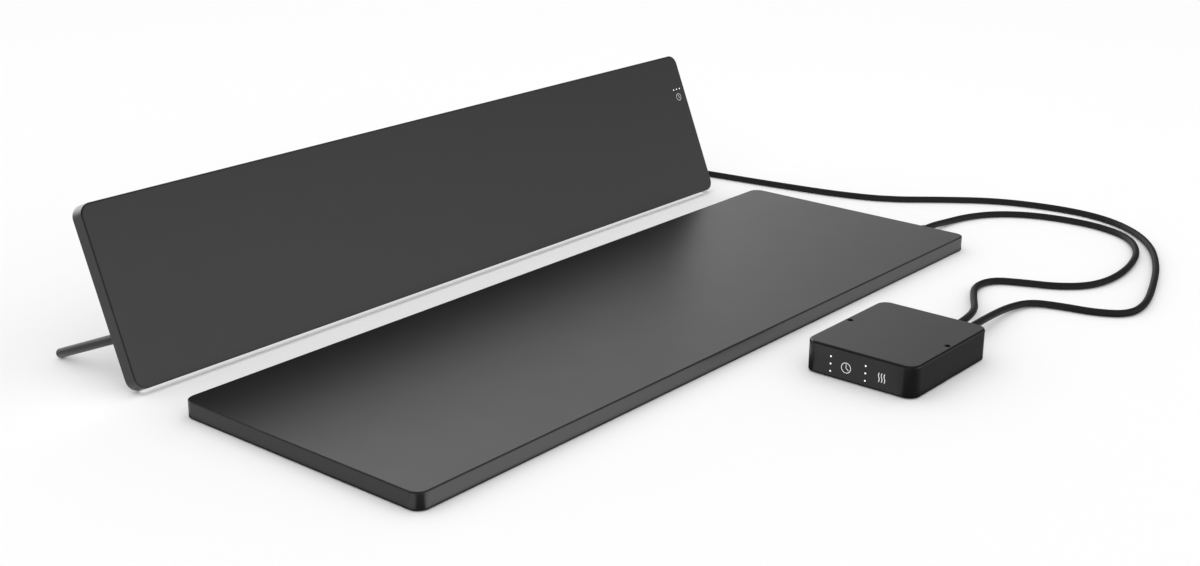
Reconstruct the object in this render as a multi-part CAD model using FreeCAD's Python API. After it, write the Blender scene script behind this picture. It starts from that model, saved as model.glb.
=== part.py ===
import FreeCAD, Part
import math
import os

V = FreeCAD.Vector
UP = V(0, 0, 1)
DOWN = V(0, 0, -1)
RIGHT = V(1, 0, 0)
LEFT = V(-1, 0, 0)
FAR = V(0, 1, 0)
PAST = 1.0    # cutters run this far past the faces they cut
SAME = 1e-6   # levels closer than this are the same

# Both heating units, in millimetres
UNIT_L = 750.0          # length of the panel and of the pad
UNIT_CORNER_R = 10.0    # round corners of the warm face
SHEET_T = 1.5           # sheet of the front shell
FRONT_EDGE_R = 1.2      # rounded edge round the warm face
RIM_EDGE_R = 0.7        # rounded edge of the rim at the back
BACK_T = 1.5            # sheet of the back plate
BACK_RECESS = 0.3       # back plate sits this far inside the rim
BACK_CLEAR = 0.2        # gap between the back plate and the shell
FOIL_T = 0.4            # heating foil
WOOL_T = 10.3           # insulation board between the foil and the back plate
FOIL_RUN_W = 8.0        # width of one run of the foil
FOIL_PITCH = 12.0       # spacing of the runs
FOIL_SIDE_MARGIN = 22.0  # foil keeps this far from the long edges
FOIL_END_MARGIN = 26.0  # and this far from the left end
FOIL_BUS_GAP = 3.0      # gap beside each strip that leads to the terminals
WOOL_CLEAR = 1.0        # insulation board inside the shell walls
POCKET_CLEAR = 2.0      # insulation round the pieces let into it
POST_R = 4.0            # spacer posts between the warm face and the back plate
POST_INSET = 14.0       # posts from the edges of the unit
POST_COLUMNS = 4

# Upright panel
PANEL_W = 150.0
PANEL_LEAN = 22.4       # degrees back from upright
PANEL_GLAND_END = 35.0  # gland in the back, from the right end
PANEL_GLAND_UP = 30.0   # and up from the bottom edge
PANEL_FOIL_END = 90.0   # right end kept free of foil runs
ROD_R = 4.0
ROD_END_GAP = 1.5       # foot sockets from the end walls of the panel
ROD_UP = 43.7           # foot rods up from the bottom edge
ROD_CHAMFER = 0.8
ROD_FIT = 0.05          # running clearance of the stud in its socket
STUD_R = 3.0            # screwed end of a rod
STUD_IN = 6.0           # length of thread in the socket
STUD_SPARE = 0.5        # socket is this much deeper than the stud
SOCKET_R = 5.0
SOCKET_FLANGE_R = 7.0
SOCKET_FLANGE_T = 1.5
SOCKET_END_T = 1.0
SOCKET_CLEAR = 0.1
WASHER_R = 6.0
WASHER_T = 1.0
WASHER_CLEAR = 0.15
PANEL_KEY_END = 13.0    # touch key from the right end
PANEL_KEY_DOWN = 45.0   # and down from the top edge
PANEL_DOT_PITCH = 5.1
PANEL_DOT_RISE = 8.5    # row of light dots above the key
PANEL_BOARD_W = 18.0
PANEL_BOARD_H = 30.0
PANEL_CHIP = (9.0, 10.0)
PANEL_PLUG = (9.0, 6.0, 4.8)
PANEL_PLUG_DOWN = 10.5  # plug below the middle of the board

# Heating pad
PAD_W = 250.0
PAD_GLAND_IN = 52.0     # gland in the right end wall, from the near edge
PAD_GLAND_CLEAR = 0.2   # gland's flange above the back plate
PAD_FOIL_END = 76.0
PAD_FOOT_R = 7.0
PAD_FOOT_PROUD = 0.6    # rubber feet below the rim
PAD_FOOT_INSET = 36.0
PAD_FOOT_COLUMNS = 3

# Control box
BOX_L = 120.5
BOX_W = 100.5
BOX_CORNER_R = 10.0
BOX_TOP_R = 2.0
BOX_RIM_R = 1.2
BOX_WALL = 2.2
BOX_FOOT_R = 6.0
BOX_FOOT_PROUD = 0.8
BOX_FOOT_INSET = 19.0
BASE_T = 2.0
BASE_CLEAR = 0.2
MOUNT_HOLE_R = 2.4
MOUNT_HOLE_INSET = 5.25  # mounting holes from the long sides
PILLAR_R = 4.6
BOSS_R = 3.8
BOSS_INSET = 9.0
STANDOFF_H = 3.0
STANDOFF_R = 3.5
PCB_T = 1.6
ROOF_GAP = 2.8          # above the tallest component
BOARD_CLEAR = 1.45      # between the power board and the bosses
BOARD_LEFT = 8.0        # power board from the left face of the box
BOARD_RIGHT = 22.5      # and from its right face, clear of the glands and the inlet
BOARD_SCREW_INSET = 5.0
KEY_BOARD_W = 66.0
KEY_BOARD_H = 21.0
KEY_CHIP = 8.0
CONTROL_CHIP = 10.0
# Components on the power board, placed from its left end and from its middle line
CONTROL_CHIP_AT = (14.0, -11.5)
RELAY = (13.0, 16.0, 15.0)
RELAY_AT = ((36.5, -8.5), (36.5, 8.5))
TRANSFORMER = (20.0, 20.0, 15.0)
TRANSFORMER_AT = (19.0, 6.0)
TRANSFORMER_LIMB = 4.0
CAPACITOR_R = 5.0
CAPACITOR_H = 15.0
CAPACITOR_ROLL = 0.8
CAPACITOR_AT = (24.0, -11.0)
COMPONENT_EDGE_R = 0.6
FUSE_R = 2.6
FUSE_L = 20.0
FUSE_CAP_L = 5.0
FUSE_GLASS_IN = 0.2     # glass below the caps
FUSE_X = 43.0           # middle of the fuse
FUSE_SIDE = 6.0         # its axis from the far edge of the board
FUSE_UP = 5.0
FUSE_FIT = 0.05
CLIP_T = 0.8
CLIP_W = 4.0
BOX_TERMINAL_END = 13.0  # terminal blocks from the right end of the board
BOX_TERMINAL_Y = (-9.25, 9.25)
DOT_R = 0.75            # light dots, on the box and on the panel
DOT_FIT = 0.05
BOX_DOT_PITCH = 6.25
BOX_DOT_Z = 12.3        # middle dot of each column
BOX_DOT_COLUMNS = (-6.75, 25.25)
BOX_GLAND_Y = (-22.0, -11.0)
BOX_LEAD_Z = 13.7       # leads and inlet above the desk
INLET_SIDE = 30.25      # inlet from the far side of the box
INLET_FLANGE = (25.0, 15.0, 1.8)
INLET_BODY = (21.0, 12.0, 16.0)
INLET_FLANGE_CORNER_R = 2.0
INLET_BODY_CORNER_R = 1.5
INLET_LOBE_R = 4.4
INLET_WAIST = 6.6
INLET_DEPTH = 14.0
INLET_FIT = 0.15
PIN_R = 1.2
PIN_FIT = 0.05
PIN_PITCH = 8.6
PIN_SHORT = 2.5         # pins end this far inside the mouth
PIN_TAIL = 3.0
PIN_TIP = 0.6           # chamfer at the end of a pin

# Screws, glands and leads
SCREW_R = 1.5
SCREW_HEAD_R = 2.8
SCREW_HEAD_T = 1.3
SCREW_L = 8.0
SCREW_SOCKET_R = 1.0
SCREW_SOCKET_T = 0.7
SCREW_FIT = 0.1
PAN_HEAD_R = 2.7
PAN_TOP_R = 1.9
PAN_HEAD_T = 1.6
PAN_SCREW_L = 4.0
LEAD_R = 3.2
LEAD_FIT = 0.05
LEAD_CLEAR = 0.1        # between a lead and the desk
LEAD_INSIDE = 2.0       # lead past the inner flange of its gland
LEAD_TURN_SHARE = 0.45  # share of a run that the arc at its end may take
GLAND_NECK_R = 4.2
GLAND_FLANGE_R = 5.0
GLAND_FLANGE_T = 1.4
GLAND_BOOT_L = 11.0
GLAND_BOOT_R = 4.7
GLAND_TIP_R = 4.0
GLAND_FIT = 0.05
TERMINAL = (24.0, 16.0, 8.0)
TERMINAL_EDGE_R = 1.0
TERMINAL_WELL_R = 2.0   # screw wells
TERMINAL_MOUTH_R = 1.6  # wire mouths
TERMINAL_MOUTH_IN = 4.0
TERMINAL_FROM_GLAND = 28.0
CUTOUT_R = 8.0
CUTOUT_CAP_R = 6.6
CUTOUT_CAP_T = 2.4
CUTOUT_BODY_T = 4.4
CUTOUT_TAB = 6.0        # square tabs at both sides of the disc
CUTOUT_TAB_T = 1.0
CUTOUT_FROM_FOIL_END = 30.0

# Places on the desk
BOX_GAP = 53.4          # between the box and the pad
PANEL_GAP = 54.7        # between the pad and the bottom edge of the panel
BOX_SHIFT = 66.4        # box to the right of the middle

# Levels inside a heating unit, from the rim at the back
BACK_Z = BACK_RECESS + BACK_T
FOIL_Z = BACK_Z + WOOL_T
FACE_Z = FOIL_Z + FOIL_T
UNIT_T = FACE_Z + SHEET_T

# Levels inside the control box, from the desk
BASE_TOP = BOX_FOOT_PROUD + BASE_T
PCB_TOP = BASE_TOP + STANDOFF_H + PCB_T
BOX_ROOF = PCB_TOP + RELAY[2] + ROOF_GAP
BOX_H = BOX_ROOF + BOX_WALL
BOARD_X0 = -BOX_L / 2 + BOARD_LEFT
BOARD_L = BOX_L - BOARD_LEFT - BOARD_RIGHT
BOARD_W = BOX_W - 2 * (BOSS_INSET + BOSS_R + BOARD_CLEAR)
INLET_Y = BOX_W / 2 - INLET_SIDE

# The panel leans back until the rounded edge of its rim stands on the desk
LEAN = math.radians(PANEL_LEAN)
PANEL_EDGE_Z = UNIT_T * math.sin(LEAN) - RIM_EDGE_R * (math.sin(LEAN) + math.cos(LEAN) - 1)
ROD_ROOT_Z = PANEL_EDGE_Z + ROD_UP * math.cos(LEAN) - UNIT_T * math.sin(LEAN)
ROD_REACH = ROD_CHAMFER + (ROD_ROOT_Z - ROD_R * math.cos(LEAN)) / math.sin(LEAN)
ROD_FAR_Y = (ROD_UP + ROD_R - ROD_CHAMFER) * math.sin(LEAN) + (UNIT_T + ROD_REACH) * math.cos(LEAN)
ROD_END = SHEET_T + ROD_END_GAP + SOCKET_FLANGE_R

# The set is centred on the desk point below the middle of its box of extents
SET_DEPTH = BOX_W + BOX_GAP + PAD_W + PANEL_GAP + ROD_FAR_Y
BOX_Y = -SET_DEPTH / 2 + BOX_W / 2
PAD_Y = BOX_Y + BOX_W / 2 + BOX_GAP + PAD_W / 2
PANEL_EDGE_Y = PAD_Y + PAD_W / 2 + PANEL_GAP

PAD_PLACE = FreeCAD.Placement(V(0, PAD_Y, PAD_FOOT_PROUD), FreeCAD.Rotation())
BOX_PLACE = FreeCAD.Placement(V(BOX_SHIFT, BOX_Y, 0), FreeCAD.Rotation())
PANEL_TURN = FreeCAD.Rotation(RIGHT, 90 - PANEL_LEAN)
PANEL_PLACE = FreeCAD.Placement(
    V(0, PANEL_EDGE_Y, PANEL_EDGE_Z) - PANEL_TURN.multVec(V(0, -PANEL_W / 2, UNIT_T)), PANEL_TURN)


def block(x0, x1, y0, y1, z0, z1):
    """Box between the given limits."""
    return Part.makeBox(x1 - x0, y1 - y0, z1 - z0, V(x0, y0, z0))


def around(x, y, length, width, z0, z1):
    """Block with its middle at (x, y)."""
    return block(x - length / 2, x + length / 2, y - width / 2, y + width / 2, z0, z1)


def rounded_block(length, width, radius, z0, z1):
    """Block centred on Z with its four upright edges rounded."""
    plain = around(0, 0, length, width, z0, z1)
    upright = [e for e in plain.Edges if abs(e.Vertexes[0].Z - e.Vertexes[1].Z) > (z1 - z0) / 2]
    return plain.makeFillet(radius, upright)


def rim_edges(shape, level):
    """Edges of a shape that lie at one level."""
    flat = [e for e in shape.Edges if e.BoundBox.ZLength < SAME]
    return [e for e in flat if abs(e.BoundBox.ZMin - level) < SAME]


def rod(radius, start, end):
    """Round bar from one point to another."""
    along = end - start
    return Part.makeCylinder(radius, along.Length, start, along)


def turned(profile, start, along):
    """Solid turned from (radius, height) pairs, standing on start and pointing along."""
    points = [V(radius, 0, height) for radius, height in profile]
    section = Part.Face(Part.makePolygon(points + points[:1]))
    solid = section.revolve(V(0, 0, 0), UP, 360)
    solid.Placement = FreeCAD.Placement(start, FreeCAD.Rotation(UP, along))
    return solid


def placed(shape, place):
    """Copy of a shape moved from its unit's frame to the desk."""
    moved = shape.copy()
    moved.Placement = place.multiply(moved.Placement)
    return moved


def countersunk(start, along, spare=0.0):
    """Countersunk screw whose head lies flush at start; spare makes the hole for it instead."""
    shank = SCREW_R + spare
    head = SCREW_HEAD_R + spare
    tip = SCREW_L + spare
    outline = [(0, 0), (head, 0), (shank, SCREW_HEAD_T), (shank, tip), (0, tip)]
    screw = turned(outline, start, along)
    if spare:
        return screw
    return screw.cut(rod(SCREW_SOCKET_R, start, start + along * SCREW_SOCKET_T))


def pan_screw(start):
    """Pan-head screw standing head up on start."""
    outline = [(0, PAN_HEAD_T), (0, -PAN_SCREW_L), (SCREW_R, -PAN_SCREW_L), (SCREW_R, 0),
               (PAN_HEAD_R, 0), (PAN_HEAD_R, PAN_HEAD_T / 2), (PAN_TOP_R, PAN_HEAD_T)]
    top = start + UP * PAN_HEAD_T
    return turned(outline, start, UP).cut(rod(SCREW_SOCKET_R, top, top + DOWN * SCREW_SOCKET_T))


def gland(outside, outward, wall):
    """Strain relief that clips into a wall: two flanges, a neck and a tapered boot round the lead."""
    bore = LEAD_R + LEAD_FIT
    inner = -wall - GLAND_FLANGE_T
    outline = [(bore, inner), (GLAND_FLANGE_R, inner), (GLAND_FLANGE_R, -wall), (GLAND_NECK_R, -wall),
               (GLAND_NECK_R, 0), (GLAND_FLANGE_R, 0), (GLAND_FLANGE_R, GLAND_FLANGE_T),
               (GLAND_BOOT_R, GLAND_FLANGE_T), (GLAND_TIP_R, GLAND_BOOT_L), (bore, GLAND_BOOT_L)]
    return turned(outline, outside, outward)


def gland_hole(outside, outward, wall):
    """Round hole in a wall for a gland's neck."""
    return rod(GLAND_NECK_R + GLAND_FIT, outside + outward * PAST, outside - outward * (wall + PAST))


def two_rows(width, inset, count):
    """Points in two rows along a unit, set in from its edges."""
    step = (UNIT_L - 2 * inset) / (count - 1)
    columns = [-UNIT_L / 2 + inset + i * step for i in range(count)]
    return [V(x, side * (width / 2 - inset), 0) for x in columns for side in (-1, 1)]


def post_points(width):
    """Places of the spacer posts of a unit."""
    return two_rows(width, POST_INSET, POST_COLUMNS)


def front_shell(width):
    """Warm face and side walls, drawn from one sheet and open at the back."""
    shell = rounded_block(UNIT_L, width, UNIT_CORNER_R, 0, UNIT_T)
    shell = shell.makeFillet(FRONT_EDGE_R, rim_edges(shell, UNIT_T))
    shell = shell.makeFillet(RIM_EDGE_R, rim_edges(shell, 0))
    hollow = rounded_block(UNIT_L - 2 * SHEET_T, width - 2 * SHEET_T, UNIT_CORNER_R - SHEET_T, 0, FACE_Z)
    return shell.cut(hollow)


def back_plate(width):
    """Sheet that closes the back, held by countersunk screws."""
    inset = 2 * (SHEET_T + BACK_CLEAR)
    radius = UNIT_CORNER_R - SHEET_T - BACK_CLEAR
    plate = rounded_block(UNIT_L - inset, width - inset, radius, BACK_RECESS, BACK_Z)
    return plate.cut([countersunk(p + UP * BACK_RECESS, UP, SCREW_FIT) for p in post_points(width)])


def posts(width):
    """Spacer posts, each with a blind hole for its screw."""
    made = []
    for point in post_points(width):
        post = rod(POST_R, point + UP * BACK_Z, point + UP * FACE_Z)
        made.append(post.cut(countersunk(point + UP * BACK_RECESS, UP, SCREW_FIT)))
    return made


def back_screws(width):
    """Screws through the back plate into the posts."""
    return [countersunk(p + UP * BACK_RECESS, UP) for p in post_points(width)]


def heating_foil(width, right_end, terminal_y):
    """One strip that winds to and fro behind the warm face and ends in two tabs at the terminals."""
    x0 = -UNIT_L / 2 + FOIL_END_MARGIN
    x1 = UNIT_L / 2 - right_end
    half = FOIL_RUN_W / 2
    runs = 2 * int((width - 2 * FOIL_SIDE_MARGIN) / (2 * FOIL_PITCH))
    rows = [(i - (runs - 1) / 2) * FOIL_PITCH for i in range(runs)]
    strips = [(x0, x1, y - half, y + half) for y in rows]
    for i in range(runs - 1):
        turn_x = x0 if i % 2 == 0 else x1 - FOIL_RUN_W
        strips.append((turn_x, turn_x + FOIL_RUN_W, rows[i], rows[i + 1]))
    bus = x1 + FOIL_BUS_GAP
    for row, tab_y in ((rows[0], terminal_y - FOIL_RUN_W), (rows[-1], terminal_y + FOIL_RUN_W)):
        strips.append((x1 - half, bus + FOIL_RUN_W, row - half, row + half))
        strips.append((bus, bus + FOIL_RUN_W, min(row, tab_y) - half, max(row, tab_y) + half))
        bus += FOIL_RUN_W + FOIL_BUS_GAP
        strips.append((bus - FOIL_RUN_W, x1 + 3 * FOIL_RUN_W + FOIL_BUS_GAP, tab_y - half, tab_y + half))
    pieces = [block(*strip, FOIL_Z, FACE_Z) for strip in strips]
    return pieces[0].multiFuse(pieces[1:]).removeSplitter()


def insulation(width, pockets):
    """Insulation board with holes for the posts and pockets given as (x0, x1, y0, y1)."""
    inset = 2 * (SHEET_T + WOOL_CLEAR)
    radius = UNIT_CORNER_R - SHEET_T - WOOL_CLEAR
    board = rounded_block(UNIT_L - inset, width - inset, radius, BACK_Z, FOIL_Z)
    holes = [rod(POST_R + WOOL_CLEAR, p, p + UP * UNIT_T) for p in post_points(width)]
    return board.cut(holes + [block(*pocket, 0, UNIT_T) for pocket in pockets])


def terminal_block(x, y, z):
    """Two-pole connector block with a screw well and a wire mouth for each of its four clamps."""
    length, width, height = TERMINAL
    body = around(x, y, length, width, z, z + height)
    top = [e for e in body.Edges if e.BoundBox.ZMin > z + height / 2]
    body = body.makeFillet(TERMINAL_EDGE_R, top)
    cuts = []
    for side_y in (y - width / 4, y + width / 4):
        for side_x in (x - length / 4, x + length / 4):
            well = V(side_x, side_y, z + height)
            cuts.append(rod(TERMINAL_WELL_R, well, well + DOWN * (height / 2)))
        for end in (-1, 1):
            mouth = V(x + end * length / 2, side_y, z + height / 3)
            cuts.append(rod(TERMINAL_MOUTH_R, mouth, mouth + LEFT * (end * TERMINAL_MOUTH_IN)))
    return body.cut(cuts)


def thermal_cutout(x, y):
    """Disc thermostat whose metal cap lies against the foil, with two flat tabs."""
    outline = [(0, 0), (CUTOUT_CAP_R, 0), (CUTOUT_CAP_R, -CUTOUT_CAP_T), (CUTOUT_R, -CUTOUT_CAP_T),
               (CUTOUT_R, -CUTOUT_CAP_T - CUTOUT_BODY_T), (0, -CUTOUT_CAP_T - CUTOUT_BODY_T)]
    disc = turned(outline, V(x, y, FOIL_Z), UP)
    tab_z = FOIL_Z - CUTOUT_CAP_T - CUTOUT_BODY_T
    half = CUTOUT_TAB / 2
    tabs = []
    for tab_x in (x - CUTOUT_R, x + CUTOUT_R):
        tabs.append(block(tab_x - half, tab_x + half, y - half, y + half, tab_z, tab_z + CUTOUT_TAB_T))
    return disc.multiFuse(tabs).removeSplitter()


def terminal_pocket():
    """Half length and half width of the insulation's pocket round a terminal block."""
    return TERMINAL[0] / 2 + POCKET_CLEAR, TERMINAL[1] / 2 + POCKET_CLEAR


def cutout_pocket(x):
    """Pocket in the insulation round a thermostat and its tabs."""
    half = CUTOUT_R + CUTOUT_TAB / 2 + POCKET_CLEAR
    return (x - half, x + half, -half, half)


def dot_pipes(points, outward, wall):
    """Clear light pipes that fill the small holes in a wall."""
    return [rod(DOT_R, p - outward * wall, p) for p in points]


def dot_holes(points, outward, wall):
    """Holes for the light pipes."""
    return [rod(DOT_R + DOT_FIT, p - outward * (wall + PAST), p + outward * PAST) for p in points]


# Places in the panel's own frame
PANEL_GLAND = V(UNIT_L / 2 - PANEL_GLAND_END, PANEL_GLAND_UP - PANEL_W / 2, BACK_RECESS)
PANEL_TERMINAL_X = PANEL_GLAND.x - TERMINAL_FROM_GLAND
PANEL_KEY = V(UNIT_L / 2 - PANEL_KEY_END, PANEL_W / 2 - PANEL_KEY_DOWN, UNIT_T)
PANEL_DOTS = [PANEL_KEY + V(i * PANEL_DOT_PITCH, PANEL_DOT_RISE, 0) for i in (-1, 0, 1)]
PANEL_CUTOUT_X = UNIT_L / 2 - PANEL_FOIL_END - CUTOUT_FROM_FOIL_END
ROD_ROOTS = {side: V(sign * (UNIT_L / 2 - ROD_END), ROD_UP - PANEL_W / 2, BACK_RECESS)
             for side, sign in (("left", -1), ("right", 1))}


def panel_shell():
    """Front shell of the panel, with holes for its light dots."""
    return front_shell(PANEL_W).cut(dot_holes(PANEL_DOTS, UP, SHEET_T))


def panel_back():
    """Back plate of the panel, with holes for the gland and the foot sockets."""
    cuts = [gland_hole(PANEL_GLAND, DOWN, BACK_T)]
    for root in ROD_ROOTS.values():
        cuts.append(rod(SOCKET_R + SOCKET_CLEAR, root + DOWN * PAST, root + UP * (BACK_T + PAST)))
    return back_plate(PANEL_W).cut(cuts)


def panel_board():
    """Small board glued behind the warm face, with a chip and a plug on its back."""
    x, y = PANEL_KEY.x, PANEL_KEY.y
    low = FACE_Z - PCB_T
    board = around(x, y, PANEL_BOARD_W, PANEL_BOARD_H, low, FACE_Z)
    chip = around(x, y, PANEL_CHIP[0], PANEL_CHIP[1], low - PCB_T, low)
    plug = around(x, y - PANEL_PLUG_DOWN, PANEL_PLUG[0], PANEL_PLUG[1], low - PANEL_PLUG[2], low)
    return board.multiFuse([chip, plug]).removeSplitter()


def panel_pockets():
    """Pockets in the panel's insulation."""
    end = UNIT_L / 2
    half_t, half_y = terminal_pocket()
    socket = SOCKET_FLANGE_R + POCKET_CLEAR
    board_w = PANEL_BOARD_W / 2 + POCKET_CLEAR
    board_h = PANEL_BOARD_H / 2 + POCKET_CLEAR
    rods_y = ROD_UP - PANEL_W / 2
    return [(PANEL_TERMINAL_X - half_t, PANEL_GLAND.x + GLAND_FLANGE_R + POCKET_CLEAR,
             PANEL_GLAND.y - half_y, PANEL_GLAND.y + half_y),
            (end - ROD_END - socket, end, rods_y - socket, rods_y + socket),
            (-end, -end + ROD_END + socket, rods_y - socket, rods_y + socket),
            (PANEL_KEY.x - board_w, end, PANEL_KEY.y - board_h, PANEL_KEY.y + board_h),
            cutout_pocket(PANEL_CUTOUT_X)]


def foot_socket(root):
    """Flanged bush behind the back plate, bored for the rod's stud."""
    depth = STUD_IN + STUD_SPARE
    bore = STUD_R + ROD_FIT
    top = depth + SOCKET_END_T
    outline = [(bore, 0), (SOCKET_R, 0), (SOCKET_R, BACK_T), (SOCKET_FLANGE_R, BACK_T),
               (SOCKET_FLANGE_R, BACK_T + SOCKET_FLANGE_T), (SOCKET_R, BACK_T + SOCKET_FLANGE_T),
               (SOCKET_R, top), (0, top), (0, depth), (bore, depth)]
    return turned(outline, root, UP)


def foot_washer(root):
    """Rubber washer between the rod's shoulder and the back plate."""
    bore = STUD_R + WASHER_CLEAR
    return turned([(bore, 0), (WASHER_R, 0), (WASHER_R, WASHER_T), (bore, WASHER_T)], root, DOWN)


def foot_rod(root):
    """Straight round foot with a screwed stud at one end and a chamfer at the other."""
    end = ROD_REACH + BACK_RECESS
    outline = [(0, -STUD_IN), (STUD_R, -STUD_IN), (STUD_R, WASHER_T), (ROD_R, WASHER_T),
               (ROD_R, end - ROD_CHAMFER), (ROD_R - ROD_CHAMFER, end), (0, end)]
    return turned(outline, root, DOWN)


# Places in the pad's own frame
PAD_GLAND = V(UNIT_L / 2, PAD_GLAND_IN - PAD_W / 2, BACK_Z + GLAND_FLANGE_R + PAD_GLAND_CLEAR)
PAD_TERMINAL_X = PAD_GLAND.x - SHEET_T - TERMINAL_FROM_GLAND
PAD_CUTOUT_X = UNIT_L / 2 - PAD_FOIL_END - CUTOUT_FROM_FOIL_END


def pad_shell():
    """Front shell of the pad, with a hole for the gland in its right end wall."""
    return front_shell(PAD_W).cut(gland_hole(PAD_GLAND, RIGHT, SHEET_T))


def pad_feet():
    """Rubber feet under the back plate, in two rows."""
    return [rod(PAD_FOOT_R, p + DOWN * PAD_FOOT_PROUD, p + UP * BACK_RECESS)
            for p in two_rows(PAD_W, PAD_FOOT_INSET, PAD_FOOT_COLUMNS)]


def pad_pockets():
    """Pockets in the pad's insulation."""
    half_t, half_y = terminal_pocket()
    return [(PAD_TERMINAL_X - half_t, UNIT_L / 2, PAD_GLAND.y - half_y, PAD_GLAND.y + half_y),
            cutout_pocket(PAD_CUTOUT_X)]


# Places in the box's own frame
BOX_GLANDS = [V(BOX_L / 2, y, BOX_LEAD_Z) for y in BOX_GLAND_Y]
BOX_DOTS = [V(-BOX_L / 2, y, BOX_DOT_Z + i * BOX_DOT_PITCH) for y in BOX_DOT_COLUMNS for i in (-1, 0, 1)]


def corner_points(length, width, inset, z):
    """Four corners of a rectangle, set in by inset."""
    return [V(sx * (length / 2 - inset), sy * (width / 2 - inset), z) for sx in (-1, 1) for sy in (-1, 1)]


def box_bosses():
    """Places of the bosses for the base screws."""
    return corner_points(BOX_L, BOX_W, BOSS_INSET, BASE_TOP)


def mount_points():
    """Places of the two through holes for mounting."""
    return [V(0, side * (BOX_W / 2 - MOUNT_HOLE_INSET), BOX_FOOT_PROUD) for side in (-1, 1)]


def base_screw_starts():
    """Under side of the base below each boss."""
    return [V(p.x, p.y, BOX_FOOT_PROUD) for p in box_bosses()]


def box_housing():
    """Moulded upper shell with two through pillars, four bosses and the openings in its walls."""
    shell = rounded_block(BOX_L, BOX_W, BOX_CORNER_R, BOX_FOOT_PROUD, BOX_H)
    shell = shell.makeFillet(BOX_TOP_R, rim_edges(shell, BOX_H))
    shell = shell.makeFillet(BOX_RIM_R, rim_edges(shell, BOX_FOOT_PROUD))
    inner_r = BOX_CORNER_R - BOX_WALL
    hollow = rounded_block(BOX_L - 2 * BOX_WALL, BOX_W - 2 * BOX_WALL, inner_r, BOX_FOOT_PROUD, BOX_ROOF)
    hollow = hollow.cut([rod(PILLAR_R, p, V(p.x, p.y, BOX_H)) for p in mount_points()])
    hollow = hollow.cut([rod(BOSS_R, p, V(p.x, p.y, BOX_H)) for p in box_bosses()])
    cuts = [hollow]
    cuts += [rod(MOUNT_HOLE_R, p + DOWN * PAST, V(p.x, p.y, BOX_H + PAST)) for p in mount_points()]
    cuts += [countersunk(p, UP, SCREW_FIT) for p in base_screw_starts()]
    cuts += [gland_hole(p, RIGHT, BOX_WALL) for p in BOX_GLANDS]
    cuts += dot_holes(BOX_DOTS, LEFT, BOX_WALL)
    inside, outside = BOX_L / 2 - BOX_WALL - PAST, BOX_L / 2 + PAST
    cuts.append(inlet_block(INLET_BODY, INLET_BODY_CORNER_R, inside, outside, INLET_FIT))
    return shell.cut(cuts)


def box_base():
    """Base plate inside the rim, with standoffs for the power board."""
    inset = 2 * (BOX_WALL + BASE_CLEAR)
    radius = BOX_CORNER_R - BOX_WALL - BASE_CLEAR
    plate = rounded_block(BOX_L - inset, BOX_W - inset, radius, BOX_FOOT_PROUD, BASE_TOP)
    pillars = [rod(PILLAR_R + BASE_CLEAR, p + DOWN * PAST, V(p.x, p.y, BOX_H)) for p in mount_points()]
    plate = plate.cut(pillars)
    plate = plate.cut([countersunk(p, UP, SCREW_FIT) for p in base_screw_starts()])
    standoffs = [rod(STANDOFF_R, V(p.x, p.y, BASE_TOP), p + DOWN * PCB_T) for p in board_screw_points()]
    plate = plate.multiFuse(standoffs)
    depth = PAN_SCREW_L + SCREW_FIT
    return plate.cut([rod(SCREW_R + SCREW_FIT, p, p + DOWN * depth) for p in board_screw_points()])


def board_screw_points():
    """Tops of the power board's screw holes."""
    middle = V(BOARD_X0 + BOARD_L / 2, 0, 0)
    return [p + middle for p in corner_points(BOARD_L, BOARD_W, BOARD_SCREW_INSET, PCB_TOP)]


def box_power_board():
    """Power board with its screw holes and a controller chip."""
    board = block(BOARD_X0, BOARD_X0 + BOARD_L, -BOARD_W / 2, BOARD_W / 2, PCB_TOP - PCB_T, PCB_TOP)
    chip = on_board(CONTROL_CHIP_AT, (CONTROL_CHIP, CONTROL_CHIP, PCB_T))
    board = board.fuse(chip).removeSplitter()
    hole_r = SCREW_R + SCREW_FIT
    through = DOWN * (PCB_T + PAST)
    return board.cut([rod(hole_r, p + UP * PAST, p + through) for p in board_screw_points()])


def box_touch_board():
    """Upright board against the left wall, with two touch chips on its inner side."""
    x0 = -BOX_L / 2 + BOX_WALL
    middle = sum(BOX_DOT_COLUMNS) / 2 - BOX_DOT_PITCH
    y0 = middle - KEY_BOARD_W / 2
    board = block(x0, x0 + PCB_T, y0, y0 + KEY_BOARD_W, BASE_TOP, BASE_TOP + KEY_BOARD_H)
    half = KEY_CHIP / 2
    chips = [block(x0 + PCB_T, x0 + 2 * PCB_T, y - half, y + half, BOX_DOT_Z - half, BOX_DOT_Z + half)
             for y in BOX_DOT_COLUMNS]
    return board.multiFuse(chips).removeSplitter()


def on_board(at, size):
    """Block standing on the power board, with its place measured on the board."""
    return around(BOARD_X0 + at[0], at[1], size[0], size[1], PCB_TOP, PCB_TOP + size[2])


def moulded(body):
    """Component with every edge rounded except those on the board."""
    return body.makeFillet(COMPONENT_EDGE_R, [e for e in body.Edges if e.BoundBox.ZMax > PCB_TOP + SAME])


def box_relays():
    """Two relays, one for the panel and one for the pad."""
    return [moulded(on_board(at, RELAY)) for at in RELAY_AT]


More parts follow.
